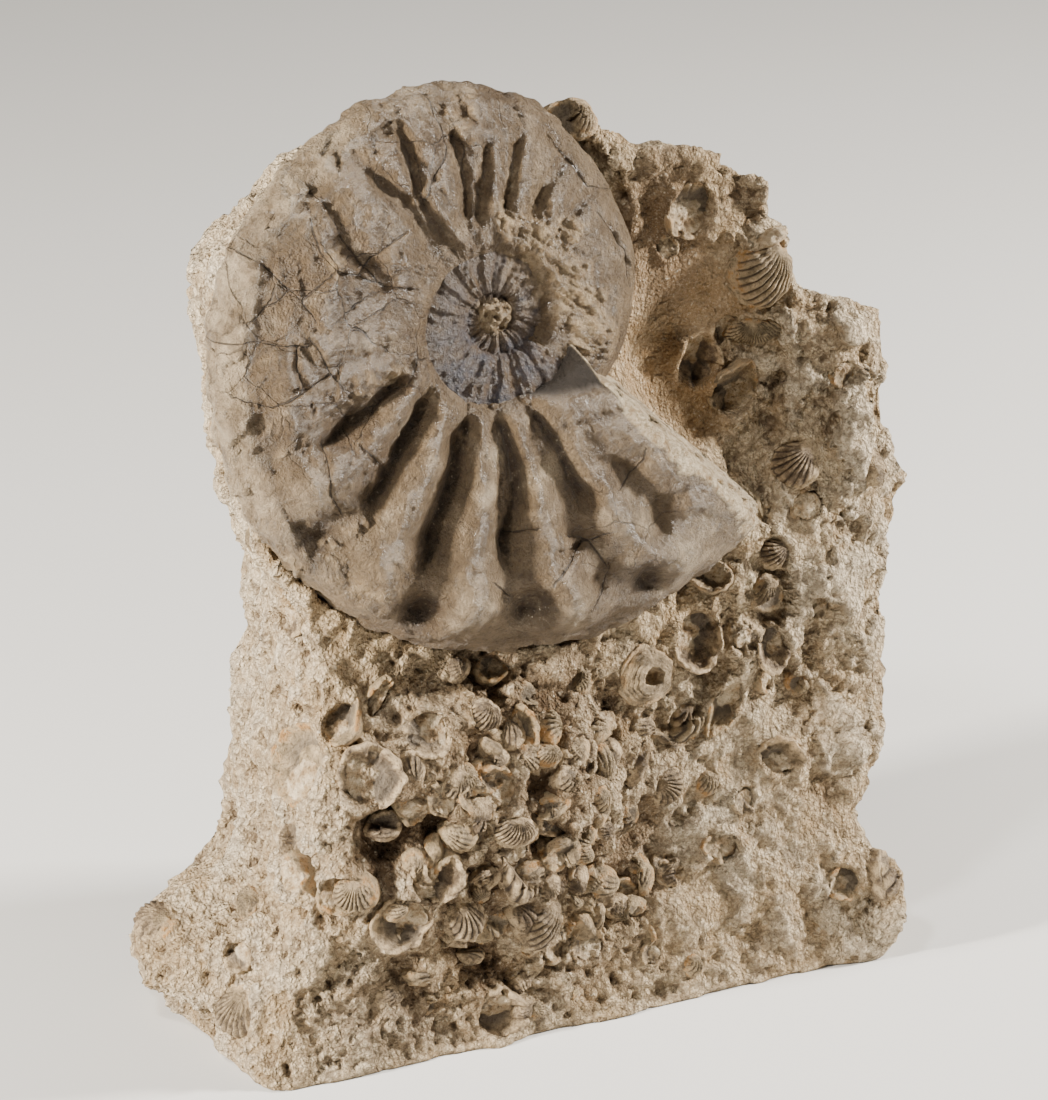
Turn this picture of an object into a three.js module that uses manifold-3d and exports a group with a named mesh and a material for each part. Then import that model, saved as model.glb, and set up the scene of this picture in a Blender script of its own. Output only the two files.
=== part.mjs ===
// An ammonite lying on the front of an upright block of shelly limestone.
// Lengths are in mm, Z is up, X runs to the right and the front faces -Y.
import * as THREE from "three";
import { mergeVertices } from "three/addons/utils/BufferGeometryUtils.js";
import Module from "manifold-3d";

const wasm = await Module();
wasm.setup();

// The finished object stands with the middle of its outline on the Z axis.
const MIDDLE_X = 7;
const MIDDLE_Y = 17;

// Clearance between two fossils, and between a fossil and its rock.
const GAP = 0.35;

// The keel of the ammonite lies in a plane that leans back, through this centre.
const LEAN = THREE.MathUtils.degToRad(8);
const CENTRE = new THREE.Vector3(-13, 5, 228);
const RIGHT = new THREE.Vector3(1, 0, 0);
const UP = new THREE.Vector3(0, Math.sin(LEAN), Math.cos(LEAN));
const OUT = new THREE.Vector3(0, -Math.cos(LEAN), Math.sin(LEAN));

// The keel is a logarithmic spiral, turned anticlockwise from the right.
const KEEL_START = 53;
const GROWTH = 0.146;
const APERTURE = 315.5;
const LAST_WHORL = APERTURE - 363;
const LEAD_FROM = 0.45;
const LEAD_OVER = 40;
const SHELL_BACK = 8;
const SEAT_PLAY = 0.8;

// Section of a whorl: distance from the spiral's axis and height over the keel plane,
// both as shares of the keel radius, from the umbilical seam out to the keel.
const SECTION = [
  [0.247, 0.097],
  [0.262, 0.165],
  [0.3, 0.225],
  [0.38, 0.252],
  [0.5, 0.262],
  [0.62, 0.256],
  [0.73, 0.24],
  [0.82, 0.222],
  [0.885, 0.178],
  [0.93, 0.115],
  [0.962, 0.062],
  [0.985, 0.036],
  [1, -0.01],
];

// Crests of the ribs in degrees, measured where they end in a tubercle.
const CRESTS = [
  -70, -52, -34, -16, 2, 20, 38, 56, 74, 90, 106, 120, 133, 146, 164, 181, 196, 214, 237, 258, 278, 297,
  316, 336, 356,
];
// Depth of the furrows between the ribs as a share of the keel radius, by angle.
const FURROWS = [
  [-60, 0.008],
  [60, 0.01],
  [85, 0.02],
  [140, 0.02],
  [175, 0.016],
  [200, 0.035],
  [225, 0.05],
  [300, 0.05],
  [318, 0.03],
];
// How much of a furrow is left at a given share of the keel radius.
const FURROW_REACH = [
  [0.26, 0],
  [0.33, 0.7],
  [0.42, 1],
  [0.74, 1],
  [0.84, 0.75],
  [0.9, 0.35],
  [0.95, 0],
];

// Outline of the block by height: X of the four upright corners and Y of the back.
const FRONT_LEFT = [
  [0, -98],
  [12, -95],
  [30, -86],
  [58, -80],
  [90, -75],
  [120, -70],
  [140, -75],
  [165, -83],
  [195, -93],
  [235, -91],
  [258, -80],
  [268, -68],
  [276, -53],
  [281, -38],
  [286, -24],
];
const FRONT_RIGHT = [
  [0, 118],
  [8, 122],
  [28, 121],
  [36, 110],
  [46, 109],
  [58, 120],
  [72, 122],
  [102, 124],
  [118, 120],
  [138, 128],
  [148, 133],
  [156, 133],
  [164, 122],
  [180, 124],
  [197, 127],
  [208, 125],
  [211, 119],
  [214.5, 97],
  [237, 92],
  [254, 89],
  [261, 66],
  [269, 42],
  [275, 31],
  [281, 21],
  [286, 4],
];
const BACK_LEFT = [
  [0, -104],
  [20, -110],
  [32, -102],
  [42, -90],
  [52, -83],
  [64, -79],
  [80, -80],
  [104, -77],
  [122, -72],
  [140, -75],
  [165, -76],
  [220, -87],
  [240, -87],
  [256, -71],
  [268, -60],
  [276, -42],
  [286, -20],
];
const BACK_RIGHT = [
  [0, 104],
  [60, 104],
  [150, 114],
  [190, 108],
  [201, 90],
  [232, 74],
  [248, 46],
  [266, 16],
  [286, -4],
];
const BACK_Y = [
  [0, 56],
  [60, 60],
  [120, 57],
  [190, 60],
  [240, 59],
  [266, 52],
  [276, 44],
  [286, 30],
];
const TOP = 286;
const LEVELS = 32;
const FRONT_COLUMNS = 27;
const RIGHT_COLUMNS = 6;
const BACK_COLUMNS = 11;
const LEFT_COLUMNS = 8;

// Swells and hollows of the front: X, Z, reach in X, reach in Z, fullness, height.
const FRONT_FORMS = [
  [-30, 76, 54, 40, 2, 12],
  [-58, 98, 22, 22, 1, 3],
  [6, 66, 22, 30, 1, 3],
  [62, 188, 36, 44, 1.5, -13],
  [52, 245, 30, 20, 1, -4],
  [104, 172, 13, 60, 1.5, 6],
  [50, 82, 14, 40, 1, -3],
  [72, 118, 26, 22, 1, 3],
  [112, 18, 17, 20, 1.5, 8],
  [60, 30, 40, 22, 1, 2],
  [0, 0, 130, 16, 1, 4],
  [-20, 132, 60, 12, 1, -3],
  [-55, 77, 9, 8, 1, -6],
  [-14, 118, 8, 7, 1, -4],
  [31, 52, 14, 16, 1, -3],
  [84, 90, 10, 14, 1, -3],
  [98, 205, 14, 12, 1, 4],
];
const FRONT_REST = -1;
// The same for the left side: Y, Z, reach in Y, reach in Z, fullness, height.
const LEFT_FORMS = [
  [22, 27, 24, 17, 1.5, 18],
  [10, 100, 22, 24, 2, 4],
  [30, 150, 20, 16, 1, -4],
  [2, 62, 10, 12, 1, 3],
];
// The same for the back: X, Z, reach in X, reach in Z, fullness, height.
const BACK_FORMS = [
  [-40, 70, 60, 50, 1, 6],
  [60, 150, 50, 60, 1, -7],
  [30, 240, 40, 30, 1, 3],
  [-50, 200, 34, 40, 1, 4],
  [70, 40, 40, 30, 1, 4],
];

// Brachiopods on the front: X and Z of the middle, width, height, rise, turn in degrees,
// tilt to the right and upwards in degrees, and how far the rim stands over the rock.
const RIBBED = [
  [83, 223, 19, 20, 9, 15, 0, 0, 1],
  [82, 204, 19, 9, 4, -10, 0, 10, 0],
  [91, 163, 14, 15, 5, 20, -10, 0, 0],
  [82, 137, 10, 9, 4, 30, 0, 0, 0],
  [41, 69, 13, 11, 5, -20, 0, 0, 0],
  [-6, 38, 12, 17, 6, 10, 10, -15, 0],
  [-15, 56, 12, 18, 6, -12, 0, 0, 0],
  [-33, 45, 11, 14, 5, -15, 0, -10, 0],
  [-17, 73, 14, 9, 5, 12, 0, -10, 0],
  [-21, 108, 11, 9, 4, 20, 0, 10, 0],
  [50, 89, 12, 15, 5, 30, 0, 0, 0],
  [-69, 61, 13, 11, 5, 10, -20, 0, 0],
];
const CUPS = [
  [61, 245, 15, 17, 4, 0, 0, 0, 1],
  [63, 196, 11, 15, 5, 10, 0, 0, 1],
  [76, 185, 13, 15, 5, 20, 0, 0, 1],
  [54, 115, 15, 18, 4, 15, 0, 0, 0],
  [78, 125, 10, 11, 4, 0, 0, 0, 0],
  [78, 108, 11, 14, 4, 10, 0, 0, 0],
  [36, 106, 19, 18, 4, 0, 0, 0, 0],
  [63, 91, 9, 20, 4, 32, 0, 0, 0],
  [80, 71, 14, 11, 4, 20, 0, 0, 0],
  [99, 28, 11, 10, 4, 0, 0, 0, 0],
  [-21, 10, 16, 15, 4, 10, 0, 10, 0],
  [-23, 86, 22, 16, 5, 10, 0, 8, 1],
  [-43, 62, 16, 15, 5, -15, -8, -15, 1],
  [-54, 49, 18, 17, 5, 0, -10, -20, 1],
  [-66, 113, 10, 14, 4, 15, -20, 0, 1],
  [-61, 98, 19, 19, 5, 0, -8, 0, 1],
  [-41, 107, 14, 15, 4, 25, 0, 0, 0],
  [10, 25, 11, 12, 4, -20, 0, -5, 0],
];
// Ribbed brachiopods on the left side: Y and Z, then as above.
const LEFT_RIBBED = [
  [-6, 18, 15, 18, 5, 20, 0, 0, 0],
  [34, 33, 14, 15, 6, 40, 0, 0, 0],
  [-12, 64, 14, 13, 5, 0, 0, 0, 0],
];
const SHELL_COLUMNS = 10;
const SHELL_ROOT = 7;

// Value between the stops of a list of [position, value] pairs.
function along(stops, at) {
  let last = stops[0];
  for (const stop of stops) {
    if (at < stop[0]) {
      if (stop === stops[0]) return stop[1];
      const share = (at - last[0]) / (stop[0] - last[0]);
      return last[1] + share * (stop[1] - last[1]);
    }
    last = stop;
  }
  return last[1];
}

// A fixed scatter between -1 and 1 for a place in the rock's grid.
function scatter(column, level, which) {
  const wave = Math.sin(column * 127.1 + level * 311.7 + which * 74.7) * 43758.5453;
  return 2 * (wave - Math.floor(wave)) - 1;
}

// Sum of the swells and hollows in a list at one place.
function swell(forms, across, height) {
  let sum = 0;
  for (const [x, z, reachX, reachZ, fullness, rise] of forms) {
    const spread = ((across - x) / reachX) ** 2 + ((height - z) / reachZ) ** 2;
    sum += rise * Math.exp(-(spread ** fullness));
  }
  return sum;
}

// Y of the front of the rock.
function frontY(x, z) {
  const plane = CENTRE.y + Math.tan(LEAN) * (z - CENTRE.z);
  return plane - FRONT_REST - swell(FRONT_FORMS, x, z);
}

// X of the left side of the rock.
function leftX(y, z) {
  const front = frontY(along(FRONT_LEFT, z), z);
  const share = (y - front) / (along(BACK_Y, z) - front);
  const flat = THREE.MathUtils.lerp(along(FRONT_LEFT, z), along(BACK_LEFT, z), share);
  return flat - swell(LEFT_FORMS, y, z);
}

// One level of the rock as a ring of points, anticlockwise from the front left corner.
function rockRing(z) {
  const left = along(FRONT_LEFT, z);
  const right = along(FRONT_RIGHT, z);
  const backLeft = along(BACK_LEFT, z);
  const backRight = along(BACK_RIGHT, z);
  const back = along(BACK_Y, z);
  const ring = [];
  for (let i = 0; i < FRONT_COLUMNS; i++) {
    const x = left + ((right - left) * i) / FRONT_COLUMNS;
    ring.push(new THREE.Vector3(x, frontY(x, z), z));
  }
  for (let i = 0; i < RIGHT_COLUMNS; i++) {
    const share = i / RIGHT_COLUMNS;
    const y = THREE.MathUtils.lerp(frontY(right, z), back, share);
    ring.push(new THREE.Vector3(right + (backRight - right) * share, y, z));
  }
  for (let i = 0; i < BACK_COLUMNS; i++) {
    const x = backRight + ((backLeft - backRight) * i) / BACK_COLUMNS;
    ring.push(new THREE.Vector3(x, back + swell(BACK_FORMS, x, z), z));
  }
  const front = frontY(left, z);
  for (let i = 0; i < LEFT_COLUMNS; i++) {
    const y = THREE.MathUtils.lerp(back, front, i / LEFT_COLUMNS);
    ring.push(new THREE.Vector3(leftX(y, z), y, z));
  }
  return ring;
}

// Draws the points near the four corners inwards, so that the corners are rounded.
function roundCorners(ring) {
  const count = ring.length;
  const backRight = FRONT_COLUMNS + RIGHT_COLUMNS;
  const backLeft = count - LEFT_COLUMNS;
  const passes = [
    [0, FRONT_COLUMNS, backRight, backLeft],
    [backRight, backLeft],
  ];
  for (const corners of passes) {
    for (const corner of corners) {
      for (const step of [0, -1, 1]) {
        const here = ring[(corner + step + count) % count];
        const before = ring[(corner + step - 1 + count) % count];
        const after = ring[(corner + step + 1) % count];
        here.lerp(before.clone().add(after).multiplyScalar(0.5), 0.4);
      }
    }
  }
}

// Points and faces of the rough block before anything is cut into it.
function rockLoft() {
  const points = [];
  const faces = [];
  for (let level = 0; level <= LEVELS; level++) {
    const z = (TOP * level) / LEVELS;
    const ring = rockRing(z);
    roundCorners(ring);
    ring.forEach((point, column) => {
      const rough = column < FRONT_COLUMNS ? 1.5 : 2.3;
      point.x += rough * scatter(column, level, 1);
      point.y += rough * scatter(column, level, 2);
      if (level > 0) point.z += rough * scatter(column, level, 3);
      points.push(point);
    });
  }
  const count = points.length / (LEVELS + 1);
  for (let level = 0; level < LEVELS; level++) {
    for (let i = 0; i < count; i++) {
      const low = level * count + i;
      const next = level * count + ((i + 1) % count);
      faces.push(low, next, next + count, low, next + count, low + count);
    }
  }
  const floor = points.push(new THREE.Vector3(0, 15, 0)) - 1;
  const roof = points.push(new THREE.Vector3(-8, 24, TOP + 1)) - 1;
  for (let i = 0; i < count; i++) {
    const next = (i + 1) % count;
    faces.push(floor, next, i, roof, LEVELS * count + i, LEVELS * count + next);
  }
  return { points, faces };
}

// A closed geometry from points and corner numbers.
function geometryOf({ points, faces }) {
  const geometry = new THREE.BufferGeometry().setFromPoints(points);
  geometry.setIndex(faces);
  return geometry;
}

// A solid from any closed geometry.
function solidOf(geometry) {
  const bare = geometry.clone();
  bare.deleteAttribute("normal");
  bare.deleteAttribute("uv");
  const merged = mergeVertices(bare, 1e-4);
  return new wasm.Manifold(
    new wasm.Mesh({
      numProp: 3,
      vertProperties: merged.attributes.position.array,
      triVerts: new Uint32Array(merged.index.array),
    }),
  );
}

// The same points and faces with every point moved outwards by a distance.
function swollen({ points, faces }, distance) {
  const geometry = geometryOf({ points, faces });
  geometry.computeVertexNormals();
  const normals = geometry.getAttribute("normal");
  const moved = points.map((point, i) => {
    const normal = new THREE.Vector3().fromBufferAttribute(normals, i);
    return point.clone().addScaledVector(normal, distance);
  });
  return { points: moved, faces };
}

// Radius of the keel at an angle in degrees.
function keelRadius(angle) {
  return KEEL_START * Math.exp(GROWTH * THREE.MathUtils.degToRad(angle));
}

// The last sections of the shell run ahead near the umbilicus, by this many degrees.
function edgeLead(angle, share) {
  const late = THREE.MathUtils.clamp((angle - APERTURE) / LEAD_OVER + 1, 0, 1);
  return 93 * late * Math.max(0, LEAD_FROM - share);
}

// Towards the mouth the inner edge of the whorl draws in over the umbilicus.
function drawnIn(angle, share) {
  const late = THREE.MathUtils.smoothstep(angle, APERTURE - 80, APERTURE);
  return share - 0.37 * late * Math.max(0, LEAD_FROM - share);
}

// Place in the block from a radius, an angle in degrees and a height over the keel plane.
function discPoint(radius, angle, height) {
  const turn = THREE.MathUtils.degToRad(angle);
  return CENTRE.clone()
    .addScaledVector(RIGHT, radius * Math.cos(turn))
    .addScaledVector(UP, radius * Math.sin(turn))
    .addScaledVector(OUT, height);
}

// One on the crest of a rib and nothing in the furrow beside it.
function ribWave(angle, share) {
  const straight = angle + 14 * (0.8 - share);
  for (let i = 1; i < CRESTS.length; i++) {
    if (straight < CRESTS[i]) {
      const part = (straight - CRESTS[i - 1]) / (CRESTS[i] - CRESTS[i - 1]);
      return 0.5 + 0.5 * Math.cos(2 * Math.PI * part);
    }
  }
  return 1;
}

// Height of the shell over its smooth section, as a share of the keel radius.
function ribHeight(angle, share) {
  if (angle < LAST_WHORL) return 0;
  const wave = ribWave(angle, share);
  const tubercle = 0.022 * wave * Math.exp(-(((share - 0.82) / 0.06) ** 2));
  const strength = along(FURROWS, angle);
  return strength * ((wave - 1) * along(FURROW_REACH, share) + tubercle / 0.05);
}

// Section of the whorl whose keel stands at an angle in degrees, seam first, back last.
function whorlSection(angle, profile) {
  const keel = keelRadius(angle);
  const section = profile.map(([place, height]) => {
    const share = drawnIn(angle, place);
    const at = angle + edgeLead(angle, share);
    return [share * keel, at, (height + ribHeight(at, place)) * keel];
  });
  const outer = 0.985 * profile.at(-1)[0];
  for (const share of [outer, LEAD_FROM, drawnIn(angle, profile[0][0])]) {
    section.push([share * keel, angle + edgeLead(angle, share), -SHELL_BACK]);
  }
  return section;
}

// A stretch of the coiled shell through sections at the given angles, closed at both ends.
function whorl(angles, profile) {
  const points = [];
  const faces = [];
  const size = profile.length + 3;
  for (const angle of angles) {
    const section = whorlSection(angle, profile);
    for (const [radius, at, height] of section) points.push(discPoint(radius, at, height));
  }
  for (let j = 0; j + 1 < angles.length; j++) {
    for (let i = 0; i < size; i++) {
      const here = j * size + i;
      const out = j * size + ((i + 1) % size);
      faces.push(here, out, out + size, here, out + size, here + size);
    }
  }
  const last = (angles.length - 1) * size;
  const first = whorlSection(angles[0], profile);
  const outline = first.map(([radius, , height]) => new THREE.Vector2(radius, height));
  const ends = THREE.ShapeUtils.triangulateShape(outline, []);
  for (const [a, b, c] of ends) {
    const left = outline[b].clone().sub(outline[a]).cross(outline[c].clone().sub(outline[a])) > 0;
    if (left) faces.push(a, b, c, last + a, last + c, last + b);
    else faces.push(a, c, b, last + a, last + b, last + c);
  }
  return solidOf(geometryOf({ points, faces }));
}

// Angles from one to another, both included, in even steps.
function steps(from, to, count) {
  return Array.from({ length: count + 1 }, (_, i) => from + ((to - from) * i) / count);
}

// The low boss in the middle of the umbilicus.
function hub() {
  const height = SHELL_BACK + 1.5;
  const boss = new THREE.CylinderGeometry(2, 6, height, 10);
  boss.rotateX(Math.PI / 2);
  boss.translate(0, 0, height / 2 - SHELL_BACK);
  boss.applyMatrix4(new THREE.Matrix4().makeBasis(RIGHT, UP, OUT).setPosition(CENTRE));
  return solidOf(boss);
}

// The whole ammonite: outer whorl in two stretches, inner whorls and the boss.
function ammonite() {
  const ribbed = [...steps(LAST_WHORL, 178, 22), ...steps(182.8, APERTURE, 26)];
  const half = 18;
  const covered = SECTION.slice(0, 7);
  return whorl(ribbed.slice(0, half + 1), SECTION)
    .add(whorl(ribbed.slice(half), SECTION))
    .add(whorl(steps(LAST_WHORL - 170, LAST_WHORL, 10), covered))
    .add(whorl(steps(LAST_WHORL - 345, LAST_WHORL - 170, 8), covered))
    .add(whorl(steps(LAST_WHORL - 610, LAST_WHORL - 345, 7), covered))
    .add(hub());
}

// The space the ammonite needs in the rock, open towards the front.
function seat() {
  const depth = 70;
  const places = steps(LAST_WHORL + 18, APERTURE + 1.2, 44);
  const spiral = places.map((angle) => [keelRadius(angle) + SEAT_PLAY, angle]);
  const edge = [
    [60, APERTURE + 1.8],
    [57, APERTURE + 5],
    [53.5, APERTURE + 10],
  ];
  const outline = [...spiral, ...edge].map(([radius, angle]) => {
    const turn = THREE.MathUtils.degToRad(angle);
    return new THREE.Vector2(radius * Math.cos(turn), radius * Math.sin(turn));
  });
  const prism = new THREE.ExtrudeGeometry(new THREE.Shape(outline), { depth, bevelEnabled: false });
  prism.translate(0, 0, -SHELL_BACK - GAP);
  prism.applyMatrix4(new THREE.Matrix4().makeBasis(RIGHT, UP, OUT).setPosition(CENTRE));
  return solidOf(prism);
}

// A valve seen from above: its rim, narrower towards the beak.
function valveRim(wide, tall, column) {
  const turn = (2 * Math.PI * column) / SHELL_COLUMNS;
  const narrow = 1 - 0.22 * Math.max(0, Math.sin(turn));
  return [0.5 * wide * narrow * Math.cos(turn), 0.5 * tall * Math.sin(turn)];
}

// A closed body of revolution-like rings: each ring gives a share of the rim and a height.
function valveBody(wide, tall, rings, fold) {
  const points = [new THREE.Vector3(0, 0, rings[0][1])];
  const faces = [];
  for (const [share, height, ribbing] of rings) {
    for (let i = 0; i < SHELL_COLUMNS; i++) {
      const [x, y] = valveRim(wide, tall, i);
      const rib = i % 2 ? 1 - fold * ribbing : 1;
      points.push(new THREE.Vector3(x * share * rib, y * share * rib, height));
    }
  }
  const peak = rings.at(-1)[2] === 0 ? rings.at(-1)[1] : rings.at(-1)[1] + 0.4;
  points.push(new THREE.Vector3(0, 0.1 * tall, peak));
  const top = points.length - 1;
  for (let i = 0; i < SHELL_COLUMNS; i++) {
    const next = (i + 1) % SHELL_COLUMNS;
    faces.push(0, 1 + next, 1 + i);
    for (let j = 0; j + 1 < rings.length; j++) {
      const low = 1 + j * SHELL_COLUMNS;
      const high = low + SHELL_COLUMNS;
      faces.push(low + i, low + next, high + next, low + i, high + next, high + i);
    }
    const last = 1 + (rings.length - 1) * SHELL_COLUMNS;
    faces.push(last + i, last + next, top);
  }
  return geometryOf({ points, faces });
}

// A domed valve with ribs, its beak upwards.
function ribbedValve(wide, tall, rise) {
  const rings = [
    [0.92, -SHELL_ROOT, 0],
    [1, 0, 1],
    [0.8, 0.6 * rise, 1],
    [0.42, 0.93 * rise, 0.6],
  ];
  return valveBody(wide, tall, rings, 0.09);
}

// An open valve, hollow side outwards, with a raised rim.
function cupValve(wide, tall, rise) {
  const rings = [
    [1, -SHELL_ROOT, 0],
    [0.93, 0.8 * rise, 0],
    [0.6, 0.35 * rise, 0],
  ];
  return valveBody(wide, tall, rings, 0);
}

// Direction straight out of the rock at a place on the front or on the left side.
function rockNormal(side, across, z) {
  const step = 3;
  if (side === "front") {
    const slopeX = (frontY(across + step, z) - frontY(across - step, z)) / (2 * step);
    const slopeZ = (frontY(across, z + step) - frontY(across, z - step)) / (2 * step);
    return new THREE.Vector3(slopeX, -1, slopeZ).normalize();
  }
  const slopeY = (leftX(across + step, z) - leftX(across - step, z)) / (2 * step);
  const slopeZ = (leftX(across, z + step) - leftX(across, z - step)) / (2 * step);
  return new THREE.Vector3(-1, slopeY, slopeZ).normalize();
}

// Moves a valve from its own axes onto the rock.
function setOnRock(geometry, side, [across, z, , , , turn, tiltRight, tiltUp, stand]) {
  const out = rockNormal(side, across, z);
  const right = new THREE.Vector3(0, 0, 1).negate().cross(out).normalize();
  out.applyAxisAngle(new THREE.Vector3(0, 0, 1), THREE.MathUtils.degToRad(tiltRight));
  out.applyAxisAngle(right, THREE.MathUtils.degToRad(-tiltUp));
  const up = new THREE.Vector3(0, 0, 1).addScaledVector(out, -out.z).normalize();
  up.applyAxisAngle(out, THREE.MathUtils.degToRad(-turn));
  const side1 = up.clone().cross(out);
  const foot =
    side === "front"
      ? new THREE.Vector3(across, frontY(across, z), z)
      : new THREE.Vector3(leftX(across, z), across, z);
  foot.addScaledVector(out, stand);
  geometry.applyMatrix4(new THREE.Matrix4().makeBasis(side1, up, out).setPosition(foot));
  return geometry;
}

// All brachiopods, each cut clear of the rock, of the ammonite's seat and of the ones before it.
function brachiopods(skin) {
  const rows = [
    ...CUPS.map((row) => [cupValve, "front", row]),
    ...RIBBED.map((row) => [ribbedValve, "front", row]),
    ...LEFT_RIBBED.map((row) => [ribbedValve, "left", row]),
  ];
  let taken = skin;
  return rows.map(([shape, side, row]) => {
    const [, , wide, tall, rise] = row;
    const body = solidOf(setOnRock(shape(wide, tall, rise), side, row));
    const clear = body.subtract(taken);
    const room = shape(wide + 2 * GAP, tall + 2 * GAP, rise + 2 * GAP);
    taken = taken.add(solidOf(setOnRock(room, side, row)));
    return clear;
  });
}

// The faces of the largest connected skin, without the crumbs a union leaves at its joints.
function mainSkin(faces, pointCount) {
  const leader = Array.from({ length: pointCount }, (_, i) => i);
  const find = (i) => {
    while (leader[i] !== i) i = leader[i] = leader[leader[i]];
    return i;
  };
  for (let i = 0; i < faces.length; i += 3) {
    leader[find(faces[i])] = find(faces[i + 1]);
    leader[find(faces[i + 1])] = find(faces[i + 2]);
  }
  const sizes = new Map();
  for (const i of faces) sizes.set(find(i), (sizes.get(find(i)) ?? 0) + 1);
  const [largest] = [...sizes].reduce((a, b) => (b[1] > a[1] ? b : a));
  return faces.filter((_, i) => find(faces[i - (i % 3)]) === largest);
}

// A mesh with its own material from a solid, moved so that the object stands on the origin.
function meshOf(solid, name, colour, roughness) {
  const { vertProperties, triVerts } = solid.getMesh();
  const faces = mainSkin(Array.from(triVerts), vertProperties.length / 3);
  const geometry = new THREE.BufferGeometry();
  geometry.setAttribute("position", new THREE.BufferAttribute(new Float32Array(vertProperties), 3));
  geometry.setIndex(faces);
  geometry.translate(-MIDDLE_X, -MIDDLE_Y, 0);
  const material = new THREE.MeshStandardMaterial({ color: colour, roughness, metalness: 0 });
  const mesh = new THREE.Mesh(geometry, material);
  mesh.name = name;
  return mesh;
}

const loft = rockLoft();
const rock = solidOf(geometryOf(loft));
const hollow = seat();
const group = new THREE.Group();
group.add(meshOf(rock.subtract(hollow), "matrix", 0xcbb795, 0.95));
group.add(meshOf(ammonite(), "ammonite", 0x8f8174, 0.7));
const skin = solidOf(geometryOf(swollen(loft, 1.5 * GAP))).add(hollow);
brachiopods(skin).forEach((solid, i) => {
  const name = `brachiopod_${String(i + 1).padStart(2, "0")}`;
  group.add(meshOf(solid, name, 0xab9478, 0.75));
});

export default group;
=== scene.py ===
"""A fossil ammonite on a block of limestone full of brachiopods, modelled around its solid frame."""

import math
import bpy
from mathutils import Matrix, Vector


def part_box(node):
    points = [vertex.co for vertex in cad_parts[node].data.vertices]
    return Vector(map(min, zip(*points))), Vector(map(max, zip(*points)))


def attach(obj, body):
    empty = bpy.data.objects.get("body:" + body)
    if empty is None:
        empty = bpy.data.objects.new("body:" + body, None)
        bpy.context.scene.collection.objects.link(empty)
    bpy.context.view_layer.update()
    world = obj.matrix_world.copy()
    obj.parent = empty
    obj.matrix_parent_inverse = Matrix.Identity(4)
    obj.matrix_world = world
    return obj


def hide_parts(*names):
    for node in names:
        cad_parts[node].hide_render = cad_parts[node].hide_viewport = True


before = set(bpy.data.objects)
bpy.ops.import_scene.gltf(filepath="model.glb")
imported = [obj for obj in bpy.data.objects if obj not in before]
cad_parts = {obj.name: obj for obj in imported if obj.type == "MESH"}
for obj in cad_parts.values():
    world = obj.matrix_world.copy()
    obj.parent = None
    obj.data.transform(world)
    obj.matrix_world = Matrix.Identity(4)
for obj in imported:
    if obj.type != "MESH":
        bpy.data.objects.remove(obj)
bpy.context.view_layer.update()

from types import SimpleNamespace

import bpy
import numpy as np
from mathutils import Vector, noise
from mathutils.bvhtree import BVHTree

bl_info = {
    "name": "Ammonite on Brachiopod Limestone",
    "version": (1, 0, 0),
    "blender": (4, 5, 0),
    "location": "View3D > Sidebar > Ammonite",
    "description": "Models an ammonite that lies on a block of limestone full of brachiopods",
    "category": "Mesh",
}

# Lengths are in millimetres and become metres where a mesh is made.
MM = 0.001
# Vertices nearer than this, in metres, are merged.
MERGE = 0.002 * MM

# The keel of the ammonite lies in a plane that leans back, through this centre.
LEAN = math.radians(8)
CENTRE = np.array([-20.0, -12.0, 228.0])
RIGHT = np.array([1.0, 0.0, 0.0])
UP = np.array([0.0, math.sin(LEAN), math.cos(LEAN)])
OUT = np.array([0.0, -math.cos(LEAN), math.sin(LEAN)])

# The keel is a logarithmic spiral, turned anticlockwise from the right, in degrees.
KEEL_START = 53
GROWTH = 0.146
APERTURE = 315.5
LAST_WHORL = APERTURE - 363
FIRST_WHORL = LAST_WHORL - 610
# Nearer to the axis than a share, the sections before the mouth run ahead by degrees and are
# drawn in over the umbilicus, each over its last stretch in degrees.
LEAD_FROM = 0.45
LEAD_OVER, LEAD = 40, 290
DRAWN_OVER, DRAWN_IN = 80, 0.37
# Depth of the flat hidden side under the plane of the keel.
SHELL_BACK = 8
# Shares of the modelled grid that are the front of a section, and the stretch before the mouth.
FRONT_SHARE = 0.86
MOUTH_SHARE = 0.96

# Section of a whorl as shares of the keel radius: distance from the axis, height over the
# keel. First where the keel shows beside its furrow, then where the ribs run to the edge.
KEELED = [
    (0.247, 0.097), (0.262, 0.165), (0.3, 0.225), (0.38, 0.252), (0.5, 0.262), (0.62, 0.256),
    (0.71, 0.241), (0.77, 0.228), (0.81, 0.216), (0.84, 0.198), (0.865, 0.177), (0.888, 0.157),
    (0.91, 0.147), (0.932, 0.1455), (0.952, 0.134), (0.97, 0.103), (0.985, 0.072), (0.995, 0.034),
    (1, -0.01),
]
FULL = [
    (0.247, 0.097), (0.262, 0.165), (0.3, 0.225), (0.38, 0.252), (0.5, 0.262), (0.62, 0.26),
    (0.72, 0.252), (0.78, 0.244), (0.82, 0.236), (0.86, 0.222), (0.892, 0.204), (0.918, 0.182),
    (0.94, 0.158), (0.958, 0.132), (0.972, 0.104), (0.983, 0.076), (0.991, 0.048), (0.997, 0.018),
    (1, -0.01),
]
# By angle: how much of the first section it has, mm by which the whorls near the umbilicus
# stand higher, and the share to which the edge is trimmed.
KEEL_SHOWS = [(40, 0), (80, 0.8), (120, 1), (215, 1), (245, 0.15), (260, 0)]
LIFT = [(-657, 10), (-300, 8), (-60, 6), (60, 0)]
TRIM = [
    (-48, 0.92), (30, 0.92), (60, 0.96), (85, 1.0), (225, 1.0), (250, 1.005), (280, 0.985),
    (316, 0.975),
]
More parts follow.
